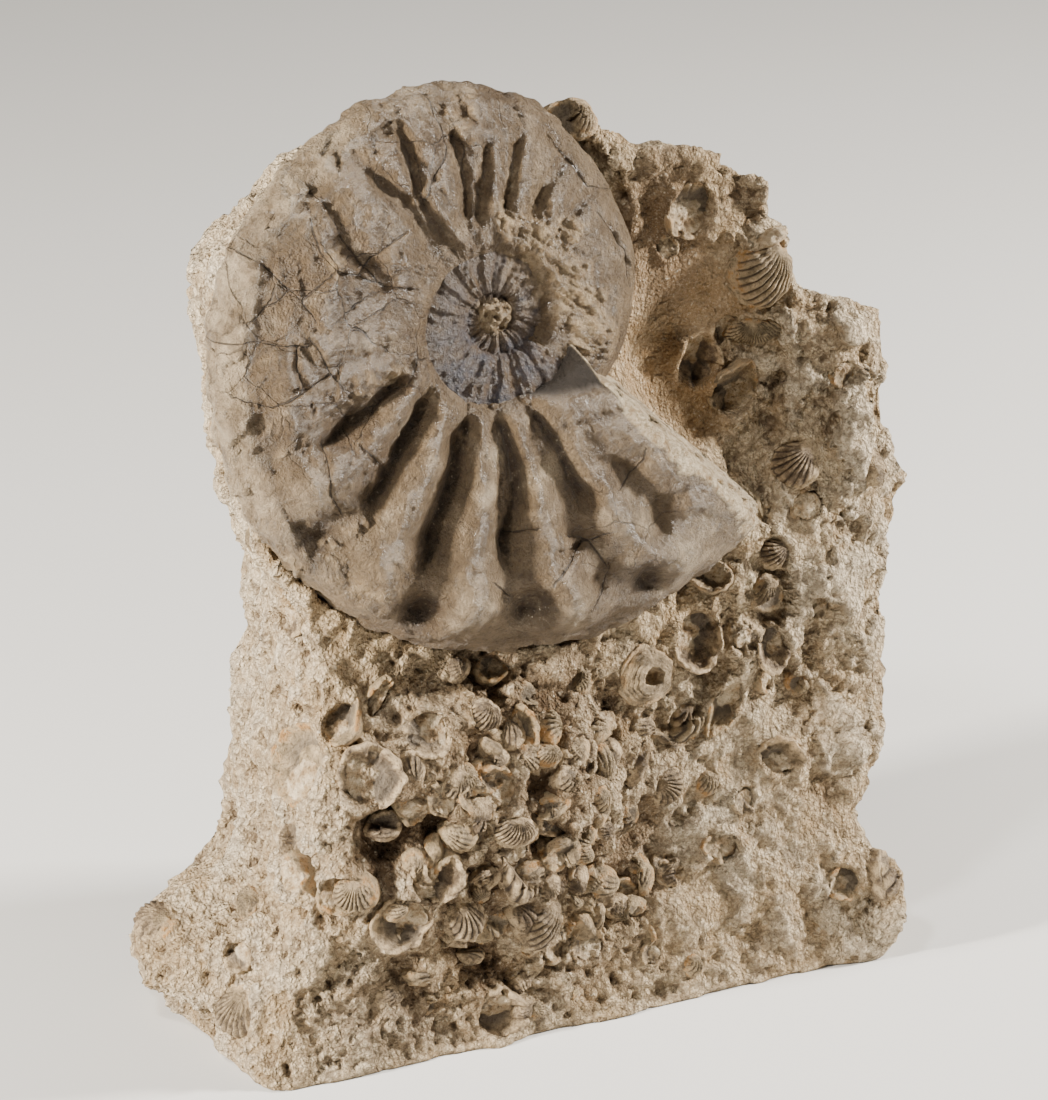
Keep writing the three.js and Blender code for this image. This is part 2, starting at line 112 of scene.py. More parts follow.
# The hidden side of the whorl, round to the seam: share of the keel radius, how far down to
# the flat back, and how far up again to the seam.
BACK = [
    (1, 0, 0), (0.992, 0.45, 0), (0.97, 0.8, 0), (0.93, 1, 0), (0.6, 1, 0), (0.27, 1, 0),
    (0.247, 0.9, 0.1), (0.247, 0, 1),
]
# Direction in the plane of the keel in which the broken mouth faces.
MOUTH_OUT = (0.75, 0.66)
# Faces across and along the modelled grids of the outer whorl, the inner whorls and the core.
OUTER_GRID, INNER_GRID, CORE_GRID = (150, 480), (56, 360), (40, 14)

# Crests of the ribs in degrees where they end at the shoulder, and by angle the depth of the
# broad waves between them as a share of the keel radius.
CRESTS = [
    -70, -52, -34, -16, 2, 20, 38, 56, 74, 90, 106, 120, 133, 146, 164, 181, 196, 214, 237, 258, 278,
    297, 316, 336, 356,
]
WAVES = [
    (-60, 0.006), (80, 0.01), (140, 0.012), (190, 0.014), (225, 0.034), (285, 0.032), (305, 0.016),
    (318, 0.01),
]
# Furrows between the ribs, from the umbilicus outwards, in the plane of the keel, with
# their width and depth: the deep ones of the lower half and the fine ones at the top.
FURROWS = [
    ([(6, -27), (13, -38), (18, -50), (24, -62)], 2.6, 5.6),
    ([(-4, -27), (0, -43), (0, -53), (-4, -65), (-4, -78)], 2.4, 5.6),
    ([(-13, -26), (-18, -43), (-24, -56), (-31, -76)], 2.8, 5.8),
    ([(-25, -19), (-34, -32), (-40, -43), (-48, -56)], 2.7, 5.0),
    ([(-33, -11), (-43, -20), (-53, -26), (-62, -30)], 2.4, 3.6),
    ([(-14, 24), (-22, 39), (-23, 51), (-25, 65)], 2.0, 3.4),
    ([(-7, 30), (-7, 42), (-9, 60)], 1.8, 3.0),
    ([(-4, 28), (-1, 40), (2, 56)], 1.6, 2.4),
    ([(-18, 22), (-27, 39), (-40, 54)], 2.2, 2.8),
    ([(-33, 14), (-44, 30), (-50, 44)], 2.6, 2.0),
    ([(3, 27), (8, 42), (14, 56)], 1.6, 2.2),
    ([(11, 25), (19, 36), (30, 46)], 1.8, 1.8),
    ([(20, 22), (30, 30), (40, 34)], 1.8, 1.6),
    ([(28, -44), (38, -52), (44, -64), (42, -76)], 2.4, 2.0),
]
# Tubercles at the shoulder and hollows beside them: place in the plane, reach, height.
TUBERCLES = [
    (42, -78, 7.5, 3.2), (12, -85, 8.5, 5.0), (-18, -83, 8.5, 4.6), (-45, -70, 8, 3.0),
    (-65, -41, 8, 3.2), (-82, -23, 8, 2.0), (-77, 3, 8, 1.6), (-62, 42, 8, 2.4), (40, -84, 5, -6.5),
    (3, -87, 5.5, -6.5), (-30, -83, 5.5, -6.8), (-60, -57, 9, -4.6), (-70, -29, 7, -2.6),
    (-68, 31, 6, -2.6), (-61, 19, 6, -2.2), (-28, -62, 8, -1.8), (53, -78, 7, 2.4), (-48, 28, 7, -1.8),
    (-49, 14, 5, -1.4), (-52, -20, 7, -1.8),
]
# Worn, paler places with a dull shine, painted lighter also as highlights on crests and shoulders: place
# in the plane and reach.
WORN_AND_HIGHLIGHTS = [
    (8, -46, 5), (-11, -49, 4), (52, -79, 8), (57, -72, 6), (15, -88, 7), (-18, -83, 6), (-63, -43, 6),
    (-6, -39, 4), (33, -64, 7), (-84, 14, 8), (-88, -8, 9), (-62, 41, 6), (-52, 53, 6), (-17, 69, 6),
    (-88, -26, 7), (-74, 44, 7),
]
# Where rock still sticks to the shell: place in the plane, reach and strength.
CRUSTS = [
    (18, 14, 12, 1.0), (28, 0, 9, 0.9), (31, -10, 7, 0.8), (8, 26, 9, 0.7), (-50, 26, 4, 0.5),
    (-5, 64, 8, 0.8), (-54, -57, 7, 0.6), (-47, -72, 8, 0.7), (-27, -40, 5, 0.5), (-36, -9, 6, 0.6),
    (30, -60, 4, 0.3), (-48, -14, 5, 0.5), (6, -96, 5, 0.5), (-22, -92, 6, 0.6), (36, -91, 5, 0.5),
    (-64, -66, 6, 0.6), (-30, 30, 4, 0.4), (24, -36, 5, 0.5), (-14, -34, 4, 0.5), (-70, -28, 5, 0.5),
]
# Where the shell lies in splintered plates, which are also painted darker as shade: place in the plane,
# reach and strength.
PLATES_AND_SHADE = [(-52, 6, 36, 1), (-16, 52, 26, 0.6), (30, -66, 20, 0.6), (-20, -66, 22, 0.4)]
# Cracks in the shell, in the plane of the keel.
CRACKS = [
    [(-53, 44), (-50, 40), (-48, 33), (-44, 26), (-38, 17), (-30, 14)],
    [(-55, 37), (-54, 28), (-50, 22), (-44, 20), (-37, 16), (-28, 14)],
    [(-51, 22), (-55, 19), (-61, 15), (-58, 9)],
    [(-60, 4), (-58, 0), (-55, -7), (-51, -13)],
    [(-64, 2), (-65, -4), (-63, -11)],
    [(30, -54), (35, -50), (38, -46), (38, -43)],
    [(-5, -67), (-5, -64), (2, -62), (3, -62)],
    [(21, -90), (24, -85), (27, -78)],
    [(-11, -76), (-5, -82)],
    [(14, -66), (21, -69), (26, -78)],
    [(-58, -25), (-58, -34), (-58, -42), (-54, -49)],
    [(-83, 4), (-76, 5), (-69, 3), (-61, 2)],
    [(7, -79), (19, -69), (27, -67)],
    [(-48, -29), (-39, -39)],
    [(-78, 32), (-70, 26), (-61, 15)],
    [(-81, -12), (-72, -15), (-63, -11), (-55, -7)],
    [(-20, 40), (-12, 52), (-14, 66)],
    [(-44, 20), (-36, 27), (-28, 30)],
    [(34, 26), (42, 14), (44, 2)],
    [(26, 44), (32, 34), (44, 30)],
]

# Brachiopods with a solid of their own, in the order of its number: kind, width, height, rise,
# turn in degrees, tilt to the right and upwards in degrees, and the number of ribs or rings.
VALVES = [
    ("cup", 16, 17.5, 7, 0, 0, 0, 0), ("cup", 14, 17, 9, 10, 0, 0, 0), ("cup", 15, 18, 10, 20, 0, 0, 0),
    ("cup", 15, 18, 6.5, 15, 0, 0, 3), ("half", 10, 11, 4, 0, 0, 0, 12),
    ("cup", 11, 14, 6, 10, 0, 0, 0), ("rings", 19, 18, 4, 0, 0, 0, 9), ("cup", 9, 20, 3, 32, 0, 0, 2),
    ("cup", 14, 11, 6, 20, 0, 0, 2), ("cup", 11, 10, 4, 0, 0, 0, 0), ("cup", 16, 15, 6, 10, 0, 10, 0),
    ("cup", 22, 16, 5, 10, 0, 8, 4), ("cup", 16, 15, 5, -15, -8, -15, 0),
    ("cup", 18, 17, 5, 0, -10, -20, 2), ("cup", 10, 14, 4, 15, -20, 0, 0),
    ("cup", 19, 19, 5, 0, -8, 0, 2), ("cup", 14, 15, 4, 25, 0, 0, 2), ("cup", 11, 12, 4, -20, 0, -5, 0),
    ("ribbed", 20, 21, 9, 28, 0, 0, 13), ("ribbed", 19, 9, 4, -10, 0, 10, 14),
    ("ribbed", 14, 15, 5, 40, -10, 0, 9), ("ribbed", 10, 9, 4, 60, 0, 0, 8),
    ("ribbed", 13, 11, 5, -60, 0, 0, 8), ("ribbed", 12, 17, 6, 30, 10, -15, 12),
    ("half", 12, 18, 6, -12, 0, 0, 6), ("ribbed", 11, 14, 5, -15, 0, -10, 8),
    ("ribbed", 14, 9, 5, 12, 0, -10, 10), ("ribbed", 11, 9, 4, 20, 0, 10, 9),
    ("half", 12, 15, 5, 30, 0, 0, 6), ("ribbed", 13, 11, 5, 10, -20, 0, 10),
    ("ribbed", 15, 18, 5, 20, 0, 0, 11), ("ribbed", 14, 15, 6, 40, 0, 0, 9),
    ("cup", 14, 13, 6.5, 0, 0, 0, 0),
]

# Smaller brachiopods and broken rims: X and Z on the front, kind, width, height, rise,
# turn and ribs.
FRAGMENTS = [
    (79, 232.5, "chunk", 12, 6, 6.5, -20, 0), (71, 151, "sliver", 6, 17, 3, -25, 0),
    (53, 133, "cup", 12, 9, 3, 0, 0), (43, 88, "half", 9, 8, 3, 10, 4),
    (49, 67, "ribbed", 7, 7, 3, 0, 7), (24, 79, "half", 5, 15, 3, 35, 3),
    (52, 46, "arc", 13, 9, 4, 20, 0), (106, 28, "half", 9, 14, 4, 15, 5),
    (25, 17, "cup", 7, 7, 3, 0, 0), (39, 11, "ribbed", 6, 6, 3, 0, 6),
    (-1, 48, "ribbed", 7, 7, 4, 20, 8), (-12, 50, "ribbed", 7, 7, 4, -20, 8),
    (8, 66, "cup", 8, 11, 3, 0, 6), (7, 75, "ribbed", 7, 9, 3, 0, 8),
    (-29, 40, "half", 7, 9, 3, -30, 5), (-79, 62, "cup", 12, 12, 3, 0, 0),
    (-61, 117, "arc", 5, 14, 3, 35, 0), (-22, 118, "cup", 9, 8, 4, 0, 0),
    (-17, 101, "cup", 8, 14, 4, 0, 0), (-10, 93, "ribbed", 9, 6, 3, 10, 9),
    (-46, 87, "arc", 8, 12, 3, -20, 0), (-4, 84, "half", 9, 7, 3, 0, 6),
    (2, 92, "arc", 10, 8, 3, 45, 0), (-9, 62, "arc", 9, 7, 3, -30, 0),
    (1, 58, "ribbed", 7, 6, 3, 50, 8), (-24, 66, "arc", 10, 9, 3, 0, 0),
    (-34, 75, "half", 8, 10, 3, 10, 5), (-38, 92, "ribbed", 8, 7, 3, -40, 9),
    (-52, 65, "arc", 9, 9, 3, 60, 0), (14, 96, "arc", 8, 7, 3, -50, 0),
    (20, 62, "half", 7, 8, 3, 20, 6), (8, 38, "arc", 8, 7, 3, 20, 0), (-8, 26, "arc", 9, 6, 3, -10, 0),
    (60, 60, "arc", 7, 8, 3, 15, 0), (70, 96, "arc", 6, 9, 3, -35, 0), (62, 112, "arc", 8, 9, 3, 80, 0),
    (82, 92, "half", 7, 6, 3, 30, 5), (88, 118, "arc", 6, 8, 3, 0, 0),
    (86, 150, "arc", 9, 10, 3, 10, 0), (66, 205, "arc", 10, 8, 3, -60, 0),
    (47, 233, "arc", 6, 7, 3, 0, 0), (100, 190, "arc", 8, 8, 3, 40, 0),
    (108, 158, "half", 8, 13, 3, 0, 0),
]

# The same for places that the front doesn't show: nearest point of the rock, then as above.
SIDE_FRAGMENTS = [
    ((-78, -20, 98), "cup", 22, 26, 2.5, 20, 0), ((-110, -5, 200), "arc", 7, 20, 3, 0, 0),
    ((17, -8, 282), "half", 14, 10, 5, 30, 9), ((-84, -20, 70), "half", 10, 12, 3, 0, 9),
    ((-92, -8, 44), "ribbed", 12, 10, 4, 30, 10), ((-100, -14, 34), "cup", 9, 9, 3, 0, 0),
    ((-112, 12, 30), "half", 12, 12, 4, 40, 8), ((-75, -10, 140), "arc", 8, 10, 3, 0, 0),
    ((-96, 5, 160), "ribbed", 9, 9, 3, 0, 9), ((100, 10, 120), "cup", 14, 12, 4, 0, 0),
    ((104, 0, 60), "ribbed", 12, 12, 4, 0, 9), ((100, 20, 200), "half", 12, 14, 4, 0, 8),
    ((20, 45, 150), "cup", 15, 14, 4, 0, 0), ((-40, 45, 90), "ribbed", 14, 12, 5, 20, 10),
    ((60, 45, 60), "half", 12, 14, 4, 0, 8), ((-20, 45, 210), "arc", 12, 10, 4, 0, 0),
]

# Fragments and flakes have shorter roots in mm and a coarser grid than the valves, and their
# numbers, which set their shapes, start here.
FRAGMENT_ROOT = 3.5
FRAGMENT_DETAIL, FIRST_FRAGMENT = 0.6, 50
FLAKE_DETAIL, FIRST_FLAKE = 0.5, 200

SMOOTH_ROUNDS, SMOOTH_FACTOR = 14, 0.5
UNSEEN_KEPT, BACK_KEPT = 0.03, 0.22

# Lights: name, place and size in metres, share of the key light's power, and colour.
LIGHTS = [
    ("key", (-1.32, -0.08, 0.5), 0.14, 1, (1, 0.95, 0.87)),
    ("side", (1.2, -0.36, 0.66), 0.16, 0.85, (1, 0.96, 0.9)),
    ("modelling", (-0.7, -0.4, 1.35), 0.16, 0.16, (1, 0.97, 0.93)),
]
LIGHTS_AIM = Vector((0, 0, 0.16))
ROOM_COLOUR = "#E6E6E6"
FLOOR_WIDTH = 6

# The camera: where it looks and how far it stands back in metres, its angles in degrees, and its
# lens and the height of its picture in millimetres.
CAMERA_AIM = Vector((-0.007, -0.017, 0.150))
CAMERA_DISTANCE = 1.4
CAMERA_AZIMUTH, CAMERA_ELEVATION = -25, 24
LENS, PICTURE_HEIGHT = 152.7, 36


def linear(colour):
    """Linear RGBA of an sRGB colour written as a hex value."""
    channels = [int(colour[i : i + 2], 16) / 255 for i in (1, 3, 5)]
    bent = [c / 12.92 if c <= 0.04045 else ((c + 0.055) / 1.055) ** 2.4 for c in channels]
    return (*bent, 1.0)


# Numbers and curves

# A noise takes the size of its lumps in mm, and then a seed that only tells it from the others.


def norms(vectors):
    """Length of each row."""
    return np.linalg.norm(vectors, axis=1)


def compass(angle):
    """Directions in the plane of the keel at angles in radians."""
    return np.column_stack([np.cos(angle), np.sin(angle)])


def hump(distance):
    """One at zero, falling to nothing beyond about two."""
    return np.exp(-(distance**2))


def with_zero(plane):
    """Plane places with a third coordinate of zero, for the noises."""
    return np.c_[plane, 0 * plane[:, 0]]


def billow(points, grain, seed):
    """Rounded lumps of the given size with sharp creases between them, about -1 to 1."""
    return 2.6 * np.abs(cloud(points, grain, seed)) - 0.6


def along(stops, at):
    """Value at each place between the stops of a list of (position, value) pairs."""
    places, values = zip(*stops)
    return np.interp(at, places, values)


def step_up(low, high, values):
    """Zero below low, one above high, and smooth between them."""
    share = np.clip((values - low) / (high - low), 0, 1)
    return share * share * (3 - 2 * share)


def smooth_curve(stops, count):
    """Points at even distances on a smooth curve through the stops."""
    stops = np.array(stops, float)
    before, after = 2 * stops[0] - stops[1], 2 * stops[-1] - stops[-2]
    points = np.vstack([before, stops, after])
    t = np.linspace(0, 1, 24, endpoint=False)[:, None]
    parts = []
    for a, b, c, d in zip(points, points[1:], points[2:], points[3:]):
        bend = (2 * a - 5 * b + 4 * c - d) * t**2 + (3 * b - a - 3 * c + d) * t**3
        parts.append(0.5 * (2 * b + (c - a) * t + bend))
    dense = np.vstack([*parts, stops[-1:]])
    steps = norms(np.diff(dense, axis=0))
    lengths = np.concatenate([[0], np.cumsum(steps)])
    even = np.linspace(0, lengths[-1], count)
    return np.column_stack([np.interp(even, lengths, column) for column in dense.T])


def cloud(points, grain, seed=0, octaves=1):
    """Smooth noise between about -1 and 1 with lumps of the given size in mm."""
    moved = (points / grain + np.array([seed * 7.31, seed * 3.17, seed * 5.77])).tolist()
    if octaves == 1:
        return np.array([noise.noise(p) for p in moved])
    return np.array([noise.fractal(p, 0.8, 2.0, octaves) for p in moved])


def cells(points, grain, seed=0):
    """Distance to the nearest cell centre in grains, and a fixed random value of that cell."""
    moved = (points / grain + np.array([seed * 7.31, seed * 3.17, seed * 5.77])).tolist()
    distance, luck = [], []
    for p in moved:
        near, centres = noise.voronoi(p)
        distance.append(near[0])
        luck.append(math.sin(12.9 * centres[0][0] + 78.2 * centres[0][1] + 37.7 * centres[0][2]))
    return np.array(distance), np.modf(np.abs(np.array(luck)) * 437.5)[0]


def path_distance(points, path):
    """Distance of plane points to a path, the same with a sign for its side, and the share."""
    path = np.array(path, float)
    lengths = norms(np.diff(path, axis=0))
    starts = np.concatenate([[0], np.cumsum(lengths)])
    nearest = np.full(len(points), 1e9)
    side = np.zeros(len(points))
    share = np.zeros(len(points))
    for a, b, start, length in zip(path, path[1:], starts, lengths):
        step = (b - a) / length
        t = np.clip((points - a) @ step, 0, length)
        off = points - a - t[:, None] * step
        distance = norms(off)
        closer = distance < nearest
        turn = np.sign(step[0] * off[:, 1] - step[1] * off[:, 0])
        nearest = np.where(closer, distance, nearest)
        side = np.where(closer, turn * distance, side)
        share = np.where(closer, (start + t) / starts[-1], share)
    return nearest, side, share


# Meshes


def only(piece):
    """Deselects everything else and makes one piece active."""
    bpy.ops.object.select_all(action="DESELECT")
    piece.select_set(True)
    bpy.context.view_layer.objects.active = piece


def points_of(piece):
    """Places of a mesh's vertices in mm."""
    flat = np.empty(3 * len(piece.data.vertices))
    piece.data.vertices.foreach_get("co", flat)
    return flat.reshape(-1, 3) / MM


def normals_of(piece):
    """Normals of a mesh's vertices."""
    flat = np.empty(3 * len(piece.data.vertices))
    piece.data.vertex_normals.foreach_get("vector", flat)
    return flat.reshape(-1, 3)


def place_points(piece, points):
    """Puts a mesh's vertices at places in mm."""
    piece.data.vertices.foreach_set("co", (points * MM).ravel())
    piece.data.update()


def paint(piece, name, values):
    """Stores one value for each vertex for the materials to read."""
    layer = piece.data.attributes.new(name, "FLOAT", "POINT")
    layer.data.foreach_set("value", np.asarray(values, np.float32))


def clean_mesh(piece):
    """Merges doubles, closes what is open and turns the faces outwards."""
    only(piece)
    bpy.ops.object.mode_set(mode="EDIT")
    bpy.ops.mesh.select_all(action="SELECT")
    bpy.ops.mesh.remove_doubles(threshold=MERGE)
    bpy.ops.mesh.select_all(action="SELECT")
    bpy.ops.mesh.fill_holes(sides=0)
    bpy.ops.mesh.select_all(action="SELECT")
    bpy.ops.mesh.normals_make_consistent(inside=False)
    bpy.ops.object.mode_set(mode="OBJECT")
    bpy.ops.object.shade_smooth()


def shaped_sheet(name, grid, place):
    """A grid bent by a function of its two shares, closed into one body."""
    columns, rows = grid
    bpy.ops.object.select_all(action="DESELECT")
    bpy.ops.mesh.primitive_grid_add(x_subdivisions=columns, y_subdivisions=rows, size=1)
    piece = bpy.context.object
    piece.name = name
    piece.data.name = name
    flat = points_of(piece) * MM
    points, marks = place(flat[:, 0] + 0.5, flat[:, 1] + 0.5)
    place_points(piece, points)
    for mark, values in marks.items():
        paint(piece, mark, values)
    clean_mesh(piece)
    return piece


def join(name, pieces):
    """Joins pieces into the first of them."""
    bpy.ops.object.select_all(action="DESELECT")
    for piece in pieces:
        piece.select_set(True)
    bpy.context.view_layer.objects.active = pieces[0]
    if len(pieces) > 1:
        bpy.ops.object.join()
    pieces[0].name = name
    pieces[0].data.name = name
    return pieces[0]


def hand_in(piece, node, material):
    """Gives a finished piece its material and its body, and hides the solid that it stands for."""
    piece.data.materials.clear()
    piece.data.materials.append(material)
    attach(piece, "root")
    if node:
        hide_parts(node)


# Ammonite


def keel_radius(angle):
    """Radius of the keel at angles in degrees."""
    return KEEL_START * np.exp(GROWTH * np.radians(angle))


def lead(angle, share):
    """Degrees by which the last sections run ahead near the umbilicus."""
    late = np.clip((angle - APERTURE) / LEAD_OVER + 1, 0, 1)
    return LEAD * late * np.maximum(0, LEAD_FROM - share) ** 2


def drawn_in(angle, share):
    """Share of the radius, drawn in over the umbilicus towards the mouth."""
    late = step_up(APERTURE - DRAWN_OVER, APERTURE, angle)
    return share - DRAWN_IN * late * np.maximum(0, LEAD_FROM - share)


def on_disc(plane, height):
    """Places in the block from places in the plane of the keel and heights over it."""
    return CENTRE + plane[:, :1] * RIGHT + plane[:, 1:2] * UP + height[:, None] * OUT


def to_disc(points):
    """Places in the plane of the keel, and heights over it, of places in the block."""
    off = points - CENTRE
    return np.column_stack([off @ RIGHT, off @ UP]), off @ OUT


def blob(plane, x, y, reach):
    """One at a place in the plane and nothing further away than about its reach."""
    return np.exp(-((plane[:, 0] - x) ** 2 + (plane[:, 1] - y) ** 2) / reach**2)


def rib_wave(angle, share):
    """Zero on the crest of a rib and one in the furrow beside it."""
    straight = angle + 8 * (0.8 - share) + 30 * np.maximum(0, 0.5 - share)
    place = np.interp(straight, CRESTS, np.arange(len(CRESTS)))
    return 0.5 - 0.5 * np.cos(2 * math.pi * place)


def rib_relief(plane):
    """Height of the shell over its smooth form, and how deep in a furrow or in a hollow beside a tubercle
    a place is, where shade is painted.
    """
    wavy = plane + 0.8 * np.column_stack([cloud(with_zero(plane), 9, seed) for seed in (1, 2)])
    relief = np.zeros(len(plane))
    furrow = np.zeros(len(plane))
    uneven = 1 + 0.35 * cloud(with_zero(plane), 7, 47)
    for path, width, depth in FURROWS:
        distance, side, share = path_distance(wavy, path)
        fade = step_up(-0.06, 0.1, share) * step_up(1.02, 0.7, share) + 0.12
        gentle = side * (path[-1][1] - path[0][1]) > 0
        wide = width * uneven * np.where(gentle, 1.15, 0.62)
        cut = hump(distance / wide) * fade
        relief -= depth * (0.62 * cut + 0.38 * hump(distance / (2.4 * wide)) * fade)
        # The narrow core of each deep furrow is marked for painted shade.
        furrow = np.maximum(furrow, cut**3.4 * step_up(1.5, 5.6, depth))
    for x, y, reach, height in TUBERCLES:
        bump = blob(wavy, x, y, reach)
        relief += height * bump
        # Hollows beside the tubercles are marked for painted shade too.
        if height < 0:
            furrow = np.maximum(furrow, bump * -height / 5)
    return relief, furrow


def crack_marks(plane):
    """Distance to the nearest crack, with a sign for its side, in mm."""
    wavy = plane + 0.6 * np.column_stack([cloud(with_zero(plane), 4, seed) for seed in (3, 4)])
    nearest = np.full(len(plane), 99.0)
    side = np.full(len(plane), 99.0)
    for path in CRACKS:
        distance, signed, _ = path_distance(wavy, path)
        closer = distance < nearest
        nearest = np.where(closer, distance, nearest)
        side = np.where(closer, signed, side)
    return nearest, side


def surface_grain(points, plane, crust):
    """Fine height of the worn shell: fibres along the ribs, dents and the crust of rock."""
    radius = norms(plane)
    turn = np.degrees(np.arctan2(plane[:, 1], plane[:, 0]))
    fibres = cloud(np.c_[turn * 1.6, radius / 9, 0 * turn], 1, 5) * 0.3
    dents = cloud(points, 22, 48) * 1.3 + cloud(points, 10, 6) * 0.9 + cloud(points, 5, 10, 2) * 0.5
    dents -= np.abs(cloud(points, 3.2, 7)) * 0.7
    chip, luck = cells(points + 2 * dents[:, None], 15, 58)
    dents += 1.1 * (luck - 0.5) * step_up(0.62, 0.5, chip)
    streaked = np.column_stack([plane @ [0.7, 0.7], plane @ [0.24, -0.24], 0 * radius])
    rough = cloud(streaked, 2.6, 8, 3) * 1.3 + billow(streaked, 2.2, 9) * 0.3
    return fibres + dents + crust * (0.75 * rough + 0.6)


def spots(plane, rows):
    """Sum of the places, reaches and strengths of a table."""
    return sum(strength * blob(plane, x, y, reach) for x, y, reach, strength in rows)


def crust_of(plane):
    """Where rock still sticks to the shell, right of the umbilicus and above it."""
    broken = cloud(with_zero(plane), 6, 11, 3)
    return step_up(0.3, 0.85, spots(plane, CRUSTS) + 0.55 * broken)


def whorl_sheet(from_angle, to_angle, front, mouth):
    """A function that bends a grid into one closed stretch of the coiled shell."""
    keeled, full = (smooth_curve(stops, 200)[: int(200 * front)] for stops in (KEELED, FULL))
    front_shares = np.linspace(0, FRONT_SHARE, len(full))
    back = smooth_curve(BACK, 60)
    back_shares = np.linspace(FRONT_SHARE, 1, 60)

    def place(u, v):
        turn = v / MOUTH_SHARE if mouth else v
        over = np.clip((turn - 1) / (1 / MOUTH_SHARE - 1), 0, 1) if mouth else 0 * v
        angle = from_angle + (to_angle - from_angle) * np.minimum(turn, 1)
        keel = keel_radius(angle)
        on_front = u <= FRONT_SHARE
        shows, lift = along(KEEL_SHOWS, angle), along(LIFT, angle)
        first, second = (
            [np.interp(u, front_shares, form[:, k]) for k in (0, 1)] for form in (keeled, full)
        )
        share, rise = (shows * first[k] + (1 - shows) * second[k] for k in (0, 1))
        back_share, down, up = (np.interp(u, back_shares, back[:, k]) for k in (0, 1, 2))
        last = shows[..., None] * keeled[-1] + (1 - shows[..., None]) * full[-1]
        back_share = np.where(back_share > 0.5, back_share * last[:, 0], back_share)
        edge = last[:, 1] * keel + lift
        under = (1 - up) * (edge + down * (-SHELL_BACK - edge)) + up * (full[0, 1] * keel + lift)
        share = drawn_in(angle, np.where(on_front, share, back_share))
        share = share * (1 + (along(TRIM, angle) - 1) * step_up(0.5, 0.9, share))
        height = np.where(on_front, rise * keel + lift, under)
        plane = (share * keel)[:, None] * compass(np.radians(angle + lead(angle, share)))
        return plane, height, angle, share, over, on_front

    return place


def wing_dip(plane):
    """How far inside the triangle between the umbilicus and the mouth a place is; it is sunk there and
    darkened with painted shade.
    """
    x, y = plane[:, 0], plane[:, 1]
    below = -23 + 1.2 * cloud(with_zero(plane), 5, 46)
    return step_up(below - 1.4, below + 0.6, y) * step_up(0, 9, x + 0.4 * (y + 20))


def worn_places(plane, angle, share, keel_shown):
    """Where the shell is worn pale, and where highlights are painted: named places and the keel on the
    left.
    """
    left = step_up(100, 140, angle) * step_up(240, 205, angle)
    worn = 0.9 * keel_shown * step_up(0.9, 0.935, share) * left
    for x, y, reach in WORN_AND_HIGHLIGHTS:
        worn = np.maximum(worn, blob(plane, x, y, reach))
    return np.clip(worn + 0.35 * cloud(with_zero(plane), 5, 51, 2) * (worn > 0.1), 0, 1)


def flank_relief(plane, points, angle, share, keel_shown):
    """Height of the flank over its smooth form, its depth in a furrow, where shade is painted, and its
    splinters.
    """
    relief, furrow = rib_relief(plane)
    limit = 0.99 - 0.09 * keel_shown
    reach = step_up(0.27, 0.42, share) * step_up(limit, limit - 0.12, share)
    band = hump((share - 0.888) / 0.018) * (0.6 + 0.9 * cloud(points, 12, 45)) * keel_shown
    relief -= along(WAVES, angle) * keel_radius(angle) * rib_wave(angle, share) * reach
    relief -= 0.3 * band + keel_shown * step_up(0.8, 0.86, share) * (0.5 + 0.8 * cloud(points, 16, 49))
    swell = cloud(np.c_[angle / 24, share * 14, 0 * share], 1, 59)
    relief += keel_shown * step_up(0.78, 0.84, share) * swell * 1.6
    splinters = cells(points + 1.5 * cloud(points, 7, 62)[:, None], 11, 61)[1] - 0.5
    relief += 1.9 * splinters * step_up(0.84, 0.9, share) * (0.35 + 0.65 * keel_shown)
    return relief, furrow, splinters


def torn_mouth(plane, height, over, rim, sunk):
    """Lets the shell end in a torn lip that runs down into the rock ahead of it."""
    height = height + over**1.8 * (1 - SHELL_BACK - height) * sunk
    reach = norms(plane)
    ahead = (1.6 + 8 * step_up(30, 50, reach)) * (1 - (1 - over) ** 1.6)
    plane = plane * (1 + rim / np.maximum(reach, 1))[:, None] + ahead[:, None] * np.array(MOUTH_OUT)
    points = on_disc(plane, height)
    torn = cloud(points, 4, 12, 3) * 2.6 + billow(points, 3, 60) * 0.9 + 0.6
    return plane, points + (step_up(0, 0.3, over) * torn)[:, None] * OUT


def broken_to_rock(plane, points, angle, over, on_front):
    """Where the shell has broken off at the mouth and the rock that fills it shows."""
    back = (APERTURE - 0.6 - angle) - 2.2 * cloud(points, 5, 15, 2)
    torn = step_up(0.3, -0.3, back) * step_up(38, 46, norms(plane)) * on_front
    return np.maximum(step_up(0, 0.03, over), torn)


